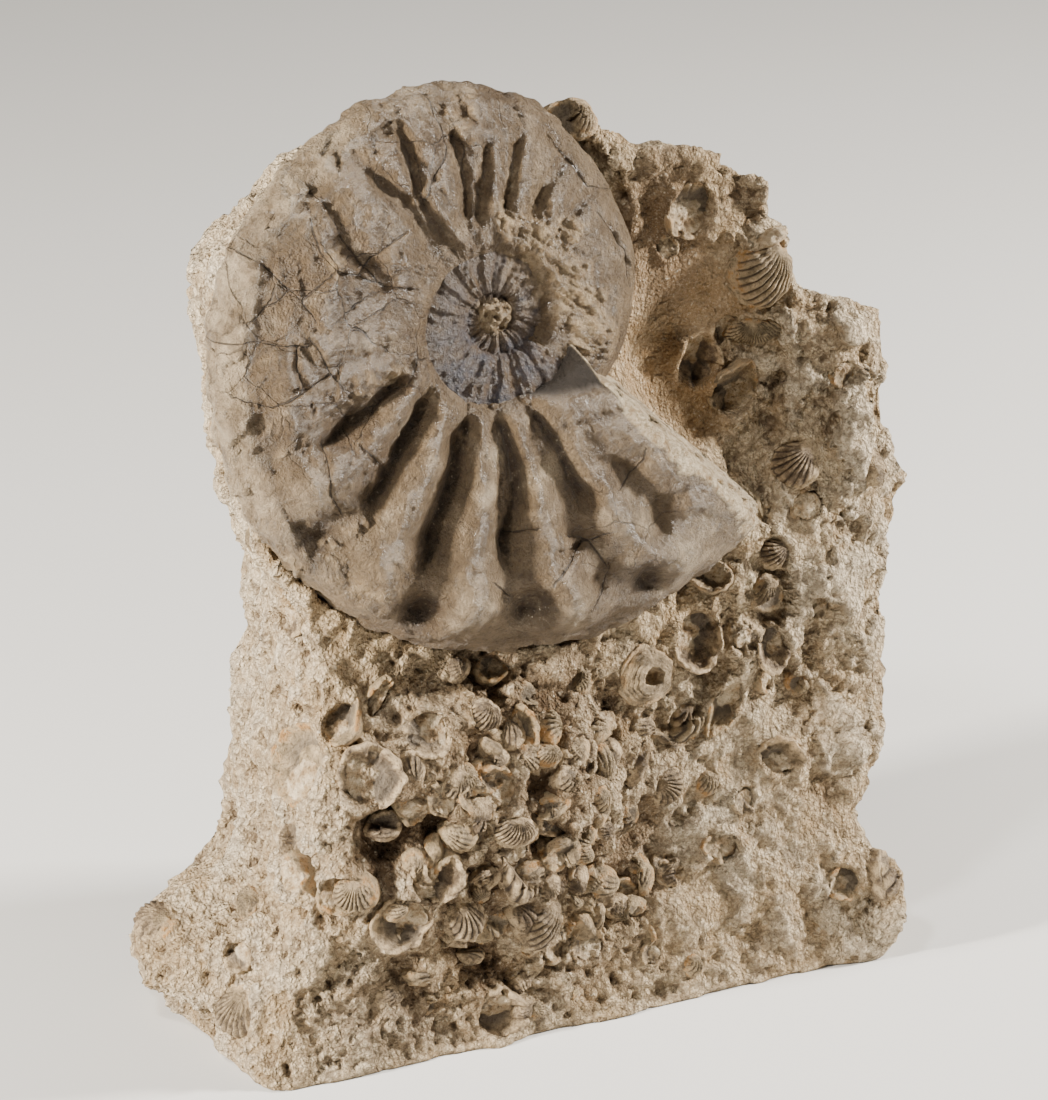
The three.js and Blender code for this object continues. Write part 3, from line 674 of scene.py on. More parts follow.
def outer_whorl(strength):
    """The last whorl with its ribs, tubercles, cracks and broken mouth."""
    bend = whorl_sheet(LAST_WHORL, APERTURE, 1, True)

    def place(u, v):
        plane, height, angle, share, over, on_front = bend(u, v)
        points = on_disc(plane, height)
        off_seam = step_up(0, 0.04, u) * on_front
        visible = off_seam * step_up(1.01, 0.98, share)
        late = step_up(APERTURE - 90, APERTURE - 40, angle)
        dip = wing_dip(plane) * late * on_front
        sunk_wing = dip * (1.2 + 0.2 * np.clip(plane[:, 0] - 2, 0, 26))
        crust = crust_of(plane) * visible * (1 - late)
        keel_shown = along(KEEL_SHOWS, angle)
        relief, furrow, splinters = flank_relief(plane, points, angle, share, keel_shown)
        relief = strength * relief * visible * (1 - 0.6 * crust) * (1 - dip)
        nearest, side = crack_marks(plane)
        relief += np.tanh(side / 0.5) * hump(nearest / 7) * 1.5 * cloud(points, 18, 50) * visible
        relief -= 0.45 * hump(nearest / 0.8) * visible
        rough = surface_grain(points, plane, crust)
        height = height + relief + rough * off_seam * (0.3 + 0.7 * visible) * (1 - 0.7 * dip) - sunk_wing
        rim = step_up(0.9, 0.98, share) * (1.5 * cloud(points, 8, 64, 3) + 2 * splinters)
        sunk = np.where(on_front, 1, 0) * off_seam * 0.9 + 0.1
        plane, points = torn_mouth(plane, height, over, rim, sunk)
        # The furrow, wing and plates marks carry painted shade, and the worn mark carries painted
        # highlights as well as wear.
        marks = {
            "crust": crust, "furrow": np.maximum(np.clip(furrow, 0, 1) * visible, dip), "crack": nearest,
            "crack_side": side, "broken": broken_to_rock(plane, points, angle, over, on_front),
            "inner": 0 * over, "plates": np.minimum(spots(plane, PLATES_AND_SHADE), 1) * (1 - dip), "wing": dip,
            "worn": worn_places(plane, angle, share, keel_shown),
        }
        return points, marks

    return shaped_sheet("ammonite_outer", OUTER_GRID, place)


def inner_whorls():
    """The early whorls that show in the umbilicus, finely ribbed and grey."""
    bend = whorl_sheet(FIRST_WHORL, LAST_WHORL + 8, 0.72, False)

    def place(u, v):
        plane, height, angle, share, _, on_front = bend(u, v)
        points = on_disc(plane, height)
        sway = cloud(points, 6, 16, 2) * 3.5 + 14 * share
        swayed = np.radians(angle + sway)
        folds = np.cos(swayed * 46) * 0.2 + np.cos(swayed * 17) * 0.34
        grain = cloud(points, 3, 13, 3) * 0.4
        crust = 0.8 * step_up(9, 3, norms(plane) + 3 * cloud(points, 5, 17))
        stuck = np.clip(blob(plane, 17, 9, 10) + 0.7 * blob(plane, 4, 21, 7), 0, 1)
        stuck *= step_up(-0.3, 0.3, cloud(points, 5, 18, 2) + 0.1)
        crust = np.maximum(crust, stuck)
        rough = cloud(points, 3.5, 19, 3) * 1.5 * crust
        relief = (folds * (1 - crust) + grain + rough) * step_up(0, 0.05, u)
        height = height + np.where(on_front, relief, 0)
        points = on_disc(plane, height)
        slate = np.clip(blob(plane, -6, -14, 12) + 0.8 * blob(plane, 13, -6, 9) + 0.55, 0, 0.95)
        return points, plain_marks(u, crust, slate)

    return shaped_sheet("ammonite_inner", INNER_GRID, place)


def plain_marks(u, crust, slate):
    """The marks of a stretch without ribs or cracks."""
    ones = np.ones(len(u))
    return {
        "crust": crust * ones, "furrow": 0.1 * ones, "crack": 99 * ones, "crack_side": 99 * ones,
        "broken": 0 * ones, "inner": slate * ones, "plates": 0 * ones, "wing": 0 * ones, "worn": 0 * ones,
    }


def core():
    """The crusted boss in the middle of the umbilicus."""

    def place(u, v):
        turn = 2 * math.pi * u
        radius = 6.5 * v
        height = 12.5 + 2.2 * (1 - v**2) - 5 * step_up(0.8, 1, v)
        plane = radius[:, None] * compass(turn)
        points = on_disc(plane, height)
        points += (cloud(points, 3.2, 14, 3) * 2.4)[:, None] * OUT
        return points, plain_marks(u, 1, 0)

    return shaped_sheet("ammonite_core", CORE_GRID, place)


# Brachiopods

# Share of a valve's modelled grid that lies inside its rim.
RIM_SHARE = 0.76


class Stone:
    """The skin of the rock's solid, to set fossils on it."""

    def __init__(self):
        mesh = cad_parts["matrix"].data
        vertices = [v.co / MM for v in mesh.vertices]
        faces = [tuple(p.vertices) for p in mesh.polygons]
        self.tree = BVHTree.FromPolygons(vertices, faces)
        self.centres = np.array([p.center[:] for p in mesh.polygons]) / MM
        self.normals = np.array([p.normal[:] for p in mesh.polygons])
        self.areas = np.array([p.area for p in mesh.polygons]) / MM**2

    def front(self, x, z):
        """Foot on the front of the rock."""
        hit = self.tree.ray_cast(Vector((x, -200, z)), Vector((0, 1, 0)))[0]
        return np.array(hit)

    def near(self, point):
        """Foot nearest to a place."""
        return np.array(self.tree.find_nearest(Vector(point))[0])

    def out(self, foot, reach=9):
        """Direction out of the rock around a foot."""
        gap = norms(self.centres - foot)
        weight = self.areas * hump(gap / reach)
        mean = (self.normals * weight[:, None]).sum(axis=0)
        return mean / np.linalg.norm(mean)


def turned(vector, axis, degrees):
    """A vector turned about an axis."""
    angle = math.radians(degrees)
    across = np.cross(axis, vector)
    along_axis = axis * (axis @ vector) * (1 - math.cos(angle))
    return vector * math.cos(angle) + across * math.sin(angle) + along_axis


def bed_of(foot, out, turn, tilt_right, tilt_up):
    """Place and axes of a valve on the rock: foot, right, up and out."""
    side = np.cross(np.array([0, 0, -1.0]), out)
    side /= np.linalg.norm(side)
    out = turned(out, np.array([0, 0, 1.0]), tilt_right)
    out = turned(out, side, -tilt_up)
    up = np.array([0, 0, 1.0]) - out[2] * out
    up = turned(up / np.linalg.norm(up), out, -turn)
    return foot, np.cross(up, out), up, out


def valve_beds(stone):
    """Every valve with a solid of its own: name, bed, measures and number."""
    rows = []
    for number, (kind, wide, tall, rise, turn, tilt_right, tilt_up, ribs) in enumerate(VALVES, 1):
        name = f"brachiopod_{number:02d}"
        low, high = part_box(name)
        foot = stone.near((np.array(low) + np.array(high)) / 2 / MM)
        bed = bed_of(foot, stone.out(foot), turn, tilt_right, tilt_up)
        rows.append((name, bed, (kind, wide, tall, rise, ribs), number))
    return rows


def fragment_beds(stone):
    """Every smaller valve and rim: bed, measures and number."""
    rows = []
    luck = np.random.default_rng(3)
    for x, z, kind, wide, tall, rise, turn, ribs in FRAGMENTS:
        foot = stone.front(x, z)
        bed = bed_of(foot, stone.out(foot), turn, luck.uniform(-16, 16), luck.uniform(-16, 16))
        rows.append((bed, (kind, wide, tall, rise, ribs), FIRST_FRAGMENT + len(rows)))
    for place, kind, wide, tall, rise, turn, ribs in SIDE_FRAGMENTS:
        foot = stone.near(place)
        bed = bed_of(foot, stone.out(foot), turn, 0, 0)
        rows.append((bed, (kind, wide, tall, rise, ribs), FIRST_FRAGMENT + len(rows)))
    return rows


def rim_point(turn, wide, tall):
    """Outline of a valve, narrower towards its beak."""
    narrow = 1 - 0.22 * np.maximum(0, np.sin(turn)) ** 1.5
    return 0.5 * wide * narrow * np.cos(turn), 0.5 * tall * np.sin(turn)


def around(turn, grain, seed):
    """Noise that closes on itself around a rim."""
    return cloud(np.c_[np.cos(turn), np.sin(turn), 0 * turn + seed * 3.1], grain, 20)


def ribbed_form(q, turn, fan, reach, measures, seed):
    """Height and grooves of a ribbed dome, or of one that is broken open on one side."""
    kind, wide, _, rise, ribs = measures
    swept = fan + 0.22 * (reach - 0.4)
    crest = np.abs(np.cos(swept * ribs * 1.9 + seed))
    ribbed = step_up(0.05, 0.4, reach) * step_up(1, 0.93, q)
    height = rise * (1 - q**2.2) ** 0.7 + (crest - 0.6) * 0.7 * wide / max(ribs, 1) * ribbed
    height += 0.16 * np.cos(reach * 26 + seed) * step_up(0.35, 0.6, reach)
    groove = step_up(0.6, 0.25, crest) * ribbed
    if kind == "half":
        open_side = np.cos(turn + seed * 2) * q + 0.35 * around(turn, 0.6, seed)
        cut = step_up(-0.1, 0.12, open_side)
        height = height * (1 - cut) + cut * (-0.3 * rise)
        groove *= 1 - cut
    return height, groove


def lean_of(turn, seed):
    """One on the side of a cup that stands proud and minus one on the side under the rock."""
    return np.cos(turn - 2.1 * seed)


def cup_form(q, turn, measures, seed):
    """Height of an open valve: a shallow dish that leans, with a thin broken rim."""
    kind, wide, tall, rise, ribs = measures
    depth = (0.1 if kind == "arc" else 0.19) * max(wide, tall)
    chips = around(turn, 0.2, seed + 5)
    broken = step_up(0.05, 0.4, around(turn, 0.8, seed))
    lip = rise * (0.2 + 0.45 * lean_of(turn, seed) - 0.65 * broken) + 0.8 * chips
    if kind == "arc":
        lip = lip - (rise + 1.5) * step_up(-0.15, 0.25, np.sin(turn + seed))
    height = -depth + (depth + lip) * q**1.9
    layers = np.mod(q * 9 + 0.9 * around(turn, 0.5, seed + 1), 1)
    height -= 0.5 * layers * step_up(0.55, 0.75, q) * step_up(1, 0.97, q)
    if ribs:
        height += 0.22 * np.cos(q * 2 * math.pi * ribs + around(turn, 0.7, seed)) * step_up(0.3, 0.55, q)
    return height, depth


def filled_cup(x, y, q, turn, measures, seed, grain, local):
    """Height of an open valve with mud on one side of its bottom, and where the mud is."""
    height, deep = cup_form(q, turn, measures, seed)
    height += grain * (1 - 0.4 * q)
    big = max(measures[1:3])
    slope = 0.38 * (x * math.cos(seed * 3) + y * math.sin(seed * 3)) / (0.2 * big)
    mud = deep * (slope - 0.75) + cloud(local, 3, 24, 3) * 0.8
    fill = step_up(-0.2, 0.3, mud - height) * (q < 0.88)
    return np.where(q < 0.88, np.maximum(height, mud), height), fill


def valve_form(x, y, q, turn, measures, seed):
    """Width, height, grooves and filling of a valve, dome or rim of any kind."""
    kind, _, tall, rise, ribs = measures
    local = np.c_[x, y, 0 * x + 31 * seed]
    grain = cloud(local, 1.5, 21) * 0.16 + cloud(local, 4, 22) * 0.4
    groove, fill = 0 * q, 0 * q
    if kind in ("ribbed", "half"):
        fan = np.arctan2(x, 0.56 * tall - y)
        reach = np.hypot(x, 0.5 * tall - y) / tall
        height, groove = ribbed_form(q, turn, fan, reach, measures, seed)
        height += grain * 0.6
    elif kind == "rings":
        slope = 1 - (np.maximum(q - 0.42, 0) / 0.58) ** 2
        height = rise * slope - 5 * step_up(0.42, 0.12, q) + grain
        height += 0.3 * np.cos(q * 2 * math.pi * ribs) * step_up(0.45, 0.6, q)
        fill = step_up(0.4, 0.2, q)
    elif kind == "sliver":
        x = x * (1 - 0.6 * np.abs(y) / tall)
        height = 1.4 * rise * (1 - q) ** 0.8 + grain
    elif kind == "chunk":
        height = rise * (1 - q**3) + 4 * grain * (1 - q**4)
        fill = 0.7 + 0 * q
    else:
        height, fill = filled_cup(x, y, q, turn, measures, seed, grain, local)
    return x, height, groove, fill


def valve(name, bed, measures, number, root=5.0, detail=0.75):
    """One valve set in its bed: a ribbed dome, an open cup, a half dome or a broken rim."""
    kind, wide, tall = measures[:3]
    foot, right, up, out = bed
    big = max(wide, tall)
    columns = int(np.clip(big * 11, 70, 230) * detail)
    rows = int(np.clip(big * 2.6, 24, 56) * detail)
    columns = int(columns * (1.3 if kind == "ribbed" else 0.9))
    seed = number * 1.37
    luck = math.modf(abs(math.sin(seed * 91.7)) * 43.7)[0]

    def place(u, v):
        turn = 2 * math.pi * u
        q = np.minimum(v / RIM_SHARE, 1)
        wall = np.clip((v - RIM_SHARE) / (1 - RIM_SHARE), 0, 1)
        x, y = rim_point(turn, wide, tall)
        size = 1 + 0.18 * around(turn, 1.1, seed) + 0.1 * around(turn, 0.3, seed + 2)
        x, y = x * q * size, y * q * size
        x, height, groove, fill = valve_form(x, y, q, turn, measures, seed)
        thick = np.minimum(wall * 5, 1) * 0.8 + 0.5 * wall
        span = np.maximum(np.hypot(x, y), 0.001)
        x, y = x * (1 + thick / span), y * (1 + thick / span)
        height = height - step_up(0.12, 1, wall) * (root + np.maximum(height, 0))
        points = foot + x[:, None] * right + y[:, None] * up + height[:, None] * out
        marks = {
            "rim": step_up(0.8, 0.97, q) * step_up(0.9, 0.3, wall), "groove": groove,
            "luck": luck + 0 * q, "depth": step_up(0, -0.16 * big, height) * (wall == 0), "fill": fill,
        }
        return points, marks

    return shaped_sheet(name, (columns, rows), place)


def flake_beds(stone, count):
    """Loose scatter of small broken valves in the shell bed under the ammonite."""
    luck = np.random.default_rng(7)
    rows = []
    # The bed is an ellipse 104 by 120 mm, thick with flakes in its middle and thin at its edge.
    while len(rows) < count:
        x, z = luck.uniform(-66, 60), luck.uniform(8, 122)
        if ((x + 16) / 52) ** 2 + ((z - 66) / 60) ** 2 > luck.uniform(0.3, 1.4):
            continue
        wide, tall = luck.uniform(4.5, 10), luck.uniform(5, 11)
        kind = luck.choice(["ribbed", "half", "arc", "sliver", "cup", "half", "ribbed"])
        foot = stone.front(x, z)
        tilt, lean, turn = luck.uniform(-30, 30), luck.uniform(-30, 30), luck.uniform(-180, 180)
        out = stone.out(foot)
        bed = bed_of(foot - luck.uniform(0.4, 1.8) * out, out, turn, tilt, lean)
        measures = (str(kind), wide, tall, luck.uniform(2.2, 3.8), int(luck.integers(6, 10)))
        rows.append((bed, measures, FIRST_FLAKE + len(rows)))
    return rows


# Rock


def patch(points, x, z, reach_x, reach_z, soft=0.35):
    """One inside an ellipse on the front and nothing outside it."""
    far = np.hypot((points[:, 0] - x) / reach_x, (points[:, 2] - z) / reach_z)
    return step_up(1 + soft, 1 - soft, far)


# Hollows and knobs of the front between the fossils: X, Z, reach in X, reach in Z, turn
# in degrees, height.
FORMS = [
    (-62, 77, 8, 10, 0, -9), (-22, 118, 6, 5, 40, -6), (24, 52, 12, 12, 0, -2.5),
    (77, 90, 8, 12, 10, -2.5), (-61, 117, 3, 9, 35, -3), (53, 133, 6, 4, 0, -3),
    (50, 100, 4, 18, -20, -2.5), (68, 104, 4, 22, -15, -2), (47, 132, 8, 5, 0, -2),
    (-4, 100, 4, 8, 0, -3), (-30, 96, 4, 10, 30, -2.5), (-48, 74, 5, 11, 10, -7),
    (-40, 38, 6, 8, 20, -3), (-12, 66, 5, 5, 0, -6), (2, 54, 4, 9, 0, -7), (14, 44, 4, 9, 30, -2.5),
    (-70, 40, 8, 12, 0, 2), (-57, 30, 6, 8, 0, -2.5), (-14, 84, 4, 6, 0, -3), (10, 88, 5, 4, 0, -2),
    (-34, 56, 4, 7, 0, -6), (90, 52, 10, 12, 0, -2), (74, 40, 8, 6, 0, -1.5), (98, 70, 6, 14, 0, 1.5),
    (96, 110, 7, 12, 0, 1.5), (100, 140, 6, 9, 0, -2), (62, 168, 14, 5, 25, 2),
    (94, 180, 4, 12, 0, -2.5), (86, 168, 4, 10, 20, 1.5), (106, 185, 5, 18, 0, 2),
    (110, 12, 7, 10, 0, 2), (100, 16, 5, 8, 0, -2.5), (60, 262, 16, 6, 0, 2), (30, 265, 12, 6, 0, 2),
    (40, 240, 8, 14, 10, -1.5), (74, 232, 5, 12, 0, -1.5),
]


def form_relief(points):
    """Height of the named hollows and knobs."""
    relief = np.zeros(len(points))
    for x, z, reach_x, reach_z, turn, height in FORMS:
        across, over = points[:, 0] - x, points[:, 2] - z
        angle = math.radians(turn)
        along_x = across * math.cos(angle) + over * math.sin(angle)
        along_z = over * math.cos(angle) - across * math.sin(angle)
        far = (along_x / reach_x) ** 2 + (along_z / reach_z) ** 2
        relief += height * np.exp(-(far**1.3))
    return relief


def bed_relief(points, beds):
    """Sockets under the fossils, the banks around them, and how calm the rock is there."""
    relief = np.zeros(len(points))
    calm = np.zeros(len(points))
    uneven = 0.55 + 0.9 * cloud(points, 9, 40)
    for (foot, right, up, _), (kind, wide, tall, rise, _), number in beds:
        off = points - foot
        near = np.nonzero(norms(off) < max(wide, tall) * 1.1)[0]
        part = off[near]
        x, y = 2 * (part @ right) / wide, 2 * (part @ up) / tall
        q = np.hypot(x, y)
        hollow = kind in ("cup", "arc")
        buried = np.maximum(0, -lean_of(np.arctan2(y, x), 1.37 * number)) if hollow else 0.2
        depth = 0.19 * max(wide, tall) + 1.8 if hollow else 1.5
        bank = rise * (0.2 + 0.45 * buried) * np.clip(uneven[near], 0, 1.1)
        outside = step_up(1.7, 1.05, q) * step_up(0.82 - 0.1 * buried, 0.95, q)
        relief[near] += -depth * step_up(0.98, 0.84, q + 0.16 * buried) + bank * outside
        calm[near] = np.maximum(calm[near], step_up(1.2, 0.95, q))
    return relief, calm


def mouth_bank(points):
    """Rock heaped against the broken mouth of the ammonite."""
    plane, height = to_disc(points)
    share = np.linspace(0.3, 1, 20)
    at = np.radians(APERTURE + lead(APERTURE, share))
    edge = (share * keel_radius(APERTURE))[:, None] * compass(at)
    near = path_distance(plane, edge + 4 * np.array(MOUTH_OUT))[0]
    uneven = 1 + 0.5 * cloud(points, 8, 41, 2)
    rise = np.clip(1 - height, 0, 9) * 0.75
    return rise * hump(near / 9) * uneven


def rim_bank(points):
    """Rock heaped against the lower rim of the ammonite."""
    plane, _ = to_disc(points)
    angle = np.mod(np.degrees(np.arctan2(plane[:, 1], plane[:, 0])), 360)
    beyond = norms(plane) - keel_radius(angle)
    lower = step_up(190, 215, angle) * step_up(318, 300, angle)
    return 3.4 * lower * hump(beyond / 4.5) * (0.8 + cloud(points, 9, 63, 2))


def rock_zones(points, normals):
    """The parts of the rock: its front, the bowl and sandy foot on it, the shell bed, both sides."""
    facing = np.clip(-normals[:, 1] * 1.4, 0, 1)
    return SimpleNamespace(
        facing=facing,
        bowl=patch(points, 42, 205, 28, 42) * facing,
        sand=patch(points, 70, 46, 44, 50, 0.5) * facing,
        cluster=patch(points, -20, 66, 56, 58, 0.3) * facing,
        left=np.clip(-normals[:, 0], 0, 1),
        right=step_up(48, 72, points[:, 0]) * facing,
    )


def gravel_of(points, tall, right):
    """Height of the rock's small broken lumps and chipped levels."""
    gravel = billow(tall, 6.5, 34) * 0.4 + billow(tall, 2.5, 35) * 0.8 + cloud(tall, 9, 38, 4) * 1.5
    gravel *= 0.4 + 0.9 * step_up(-0.4, 0.5, cloud(points, 17, 53))
    shaken = tall + 2.6 * np.column_stack([cloud(points, 6, seed, 2) for seed in (54, 55, 56)])
    large, small = (cells(shaken, size, seed)[1] - 0.5 for size, seed in ((13, 52), (6, 57)))
    return gravel + ((1.9 + 1.4 * right) * large + 1.2 * small)


def pits_of(tall, left, right):
    """Height of the pits and pores, more of them on the left and fewer on the right."""
    far, chance = cells(tall, 4.6, 36)
    pits = -2.0 * (chance > 0.78 - 0.2 * left) * hump(far / 0.26) * (0.4 + chance) * (1 - 0.85 * right)
    small, lot = cells(tall, 2.5, 37)
    pores = -1.2 * (lot > 0.62) * hump(small / 0.34) * (1 - 0.5 * right)
    return (pits + pores) * (1 + 0.8 * left)


def stone_marks(points, zones, depth, fine, named):
    """Where the rock has painted shade in its hollows, is stained, is dark as the shell bed is with
    painted shade and shadow, or is chalky with painted light on the left face and the right part.
    """
    # Painted shadow: the ammonite's shadow at the top of the bowl, shade at the low left front and at the
    # top of the rock.
    shaded = patch(points, 44, 240, 15, 26) + 0.6 * patch(points, -62, 18, 22, 16, 0.5)
    shaded = np.maximum(shaded, 0.4 * patch(points, 66, 256, 24, 16)) * zones.facing
    # Painted light: the left face, the right part and the sandy foot are painted lighter on their raised
    # grains.
    pale = np.maximum(np.maximum(zones.left, 0.8 * step_up(60, 90, points[:, 0])), 0.75 * zones.sand)
    return {
        # Painted shade: the deeper the rock lies, the darker it is painted.
        "hollow": step_up(-0.3, -4.0, depth) * (0.55 + 0.45 * np.maximum(zones.cluster, zones.left)),
        "stain": zones.bowl,
        # The shell bed is darker and browner, darkest in its low places as painted shade, and it takes
        # the painted shadow.
        "bed": np.maximum(zones.cluster * step_up(1.6, -1.2, fine + named), shaded),
        "chalk": pale * step_up(-0.6, 1.4, fine),
    }


def stone_relief(points, normals, beds, strength):
    """Height of the rough rock over its smooth form, and the marks its material reads."""
    zones = rock_zones(points, normals)
    # Patterns are drawn out upwards, as the rock is split.
    tall = points * np.array([1, 1, 0.7])
    lumps = cloud(points, 26, 31) * 2.4 + billow(points, 14, 32) * 0.9
    chunk, luck = cells(points, 9, 33)
    knobs = (0.42 - chunk) * 2.2 * (0.1 + luck)
    vigour = 1 - 0.78 * zones.bowl - 0.4 * zones.sand + 0.15 * zones.cluster
    relief, calm = bed_relief(points, beds)
    quiet = (1 - 0.55 * calm) * strength
    fine = (gravel_of(points, tall, zones.right) + pits_of(tall, zones.left, zones.right)) * vigour
    rough = lumps * (1 - 0.6 * zones.bowl) + knobs * vigour + fine
    rough = np.where(normals[:, 2] < -0.8, 0, rough) * step_up(0, 4, points[:, 2])
    named = form_relief(points) * zones.facing
    banks = (mouth_bank(points) + rim_bank(points)) * zones.facing
    depth = fine * quiet + 0.7 * knobs * vigour + 0.6 * named + 0.3 * relief
    return relief + quiet * (rough + named) + banks, stone_marks(points, zones, depth, fine, named)


def rough_block(grain):
    """A copy of the rock's solid with small faces of one size."""
    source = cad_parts["matrix"]
    rock = bpy.data.objects.new("rock", source.data.copy())
    bpy.context.scene.collection.objects.link(rock)
    only(rock)
    rock.data.materials.clear()
    bpy.ops.object.mode_set(mode="EDIT")
    bpy.ops.mesh.select_all(action="SELECT")
    bpy.ops.mesh.remove_doubles(threshold=MERGE / 2)
    bpy.ops.object.mode_set(mode="OBJECT")
    remesh = rock.modifiers.new("Even", "REMESH")
    remesh.mode = "VOXEL"
    remesh.voxel_size = grain
    bpy.ops.object.modifier_apply(modifier="Even")
    smooth = rock.modifiers.new("Soften", "SMOOTH")
    smooth.factor = SMOOTH_FACTOR
    smooth.iterations = SMOOTH_ROUNDS
    bpy.ops.object.modifier_apply(modifier="Soften")
    return rock


def thin_out(rock, select, share):
    """Leaves only a share of the faces whose corners are selected."""
    only(rock)
    rock.data.vertices.foreach_set("select", select)
    edges = np.empty(2 * len(rock.data.edges), np.int32)
    rock.data.edges.foreach_get("vertices", edges)
    rock.data.edges.foreach_set("select", select[edges.reshape(-1, 2)].all(axis=1))
    picked = [all(select[i] for i in p.vertices) for p in rock.data.polygons]
    rock.data.polygons.foreach_set("select", picked)
    bpy.ops.object.mode_set(mode="EDIT")
    bpy.ops.mesh.decimate(ratio=share)
    bpy.ops.object.mode_set(mode="OBJECT")


def turned_away(normals):
    """Where the rock faces the back or the right, which are plainer and need fewer faces."""
    return (normals[:, 1] > 0.25) | (normals[:, 0] > 0.55)


def unseen(points, normals):
    """Where the rock is hidden by the ammonite or stands on the floor."""
    plane, height = to_disc(points)
    angle = np.degrees(np.arctan2(plane[:, 1], plane[:, 0]))
    wrapped = np.where(angle < LAST_WHORL, angle + 360, angle)
    hidden = (norms(plane) < keel_radius(wrapped) - 5) & (height < -5) & (normals[:, 1] < -0.5)
    below = (normals[:, 2] < -0.8) & (points[:, 2] < 1)
    return (hidden & ~turned_away(normals)) | below


def limestone_block(beds, look):
    """The rock with its rough skin and the sockets of the fossils."""
    rock = rough_block(look.rock_grain)
    thin_out(rock, unseen(points_of(rock), normals_of(rock)), UNSEEN_KEPT)
    thin_out(rock, turned_away(normals_of(rock)), BACK_KEPT)
    points, normals = points_of(rock), normals_of(rock)
    relief, marks = stone_relief(points, normals, beds, look.rock_roughness)
    place_points(rock, points + relief[:, None] * normals)
    for mark, values in marks.items():
        paint(rock, mark, values)
    only(rock)
    bpy.ops.object.shade_smooth()
    return rock


# Materials


def connect(tree, node, inputs):
    """Fills a node's inputs.

    An input takes a value, an output, or the name of a mark that is painted on the mesh. It also
    takes a range: a tuple that begins with an output or a mark, goes on with the low and the high
    that become 0 and 1, and may end with the two values that they become instead.
    """
    for key, value in inputs.items():
        if isinstance(value, tuple) and isinstance(value[0], (str, bpy.types.NodeSocket)):
            value = add(tree, "MapRange", dict(enumerate(value)))
        if isinstance(value, str):
            value = add(tree, "Attribute", {}, "Fac", attribute_name=value)
        if isinstance(value, bpy.types.NodeSocket):
            tree.links.new(value, node.inputs[key])
        else:
            node.inputs[key].default_value = value


def add(tree, kind, inputs, out=0, **settings):
    """Adds a shader node with its settings and links, and gives one of its outputs."""
    node = tree.nodes.new("ShaderNode" + kind)
    for key, value in settings.items():
        setattr(node, key, value)
    connect(tree, node, inputs)
    return node.outputs[out]


# Settings of a product, a largest value and a running sum, kept between zero and one.
TIMES = {"operation": "MULTIPLY", "use_clamp": True}
MOST = {"operation": "MAXIMUM", "use_clamp": True}
PLUS = {"operation": "MULTIPLY_ADD", "use_clamp": True}


def new_material(name, *patterns):
    """A material, its tree, its place, and a cloud for each size in mm, detail and roughness."""
    material = bpy.data.materials.new(name)
    material.use_nodes = True
    tree = material.node_tree
    place = add(tree, "TexCoord", {}, "Object")
    clouds = []
    for size, detail, rough in patterns:
        inputs = {"Vector": place, "Scale": 1 / (size * MM), "Detail": detail, "Roughness": rough}
        clouds.append(add(tree, "TexNoise", inputs))
    return material, tree, place, clouds


def coats(tree, base, *rows):
    """Lays colours over a base, each by the product of its shares."""
    for colour, share, *others in rows:
        for other in others:
            share = add(tree, "Math", {0: share, 1: other}, **TIMES)
        base = add(tree, "Mix", {0: share, 6: base, 7: colour}, 2, data_type="RGBA")
    return base


def rough_skin(tree, depth, *rows, **settings):
    """A bump of the given depth in mm by the sum of patterns, each with its weight."""
    height = 0.0
    for pattern, weight in rows:
        inputs = {0: pattern, 1: weight, 2: height}
        height = add(tree, "Math", inputs, operation="MULTIPLY_ADD", **settings)
    return add(tree, "Bump", {"Height": height, "Strength": 1.0, "Distance": depth * MM})


def shifted(tree, place, shift, amount):
    """The place, shifted by a coloured noise of the given strength in mm."""
    shift = add(tree, "VectorMath", {0: shift, 1: (amount * MM,) * 3}, operation="MULTIPLY")
    return add(tree, "VectorMath", {0: place, 1: shift}, operation="ADD")


def grains(tree, place, *sizes):
    """Distance from the middle of irregular grains of each size in mm, about 0.7 at their edges."""
    blur = add(tree, "TexNoise", {"Vector": place, "Scale": 1 / (2 * MM), "Detail": 3}, "Color")
    found = []
    for size in sizes:
        moved = shifted(tree, place, blur, 0.8 * size)
        found.append(add(tree, "TexVoronoi", {"Vector": moved, "Scale": 1 / (size * MM)}))
    return found


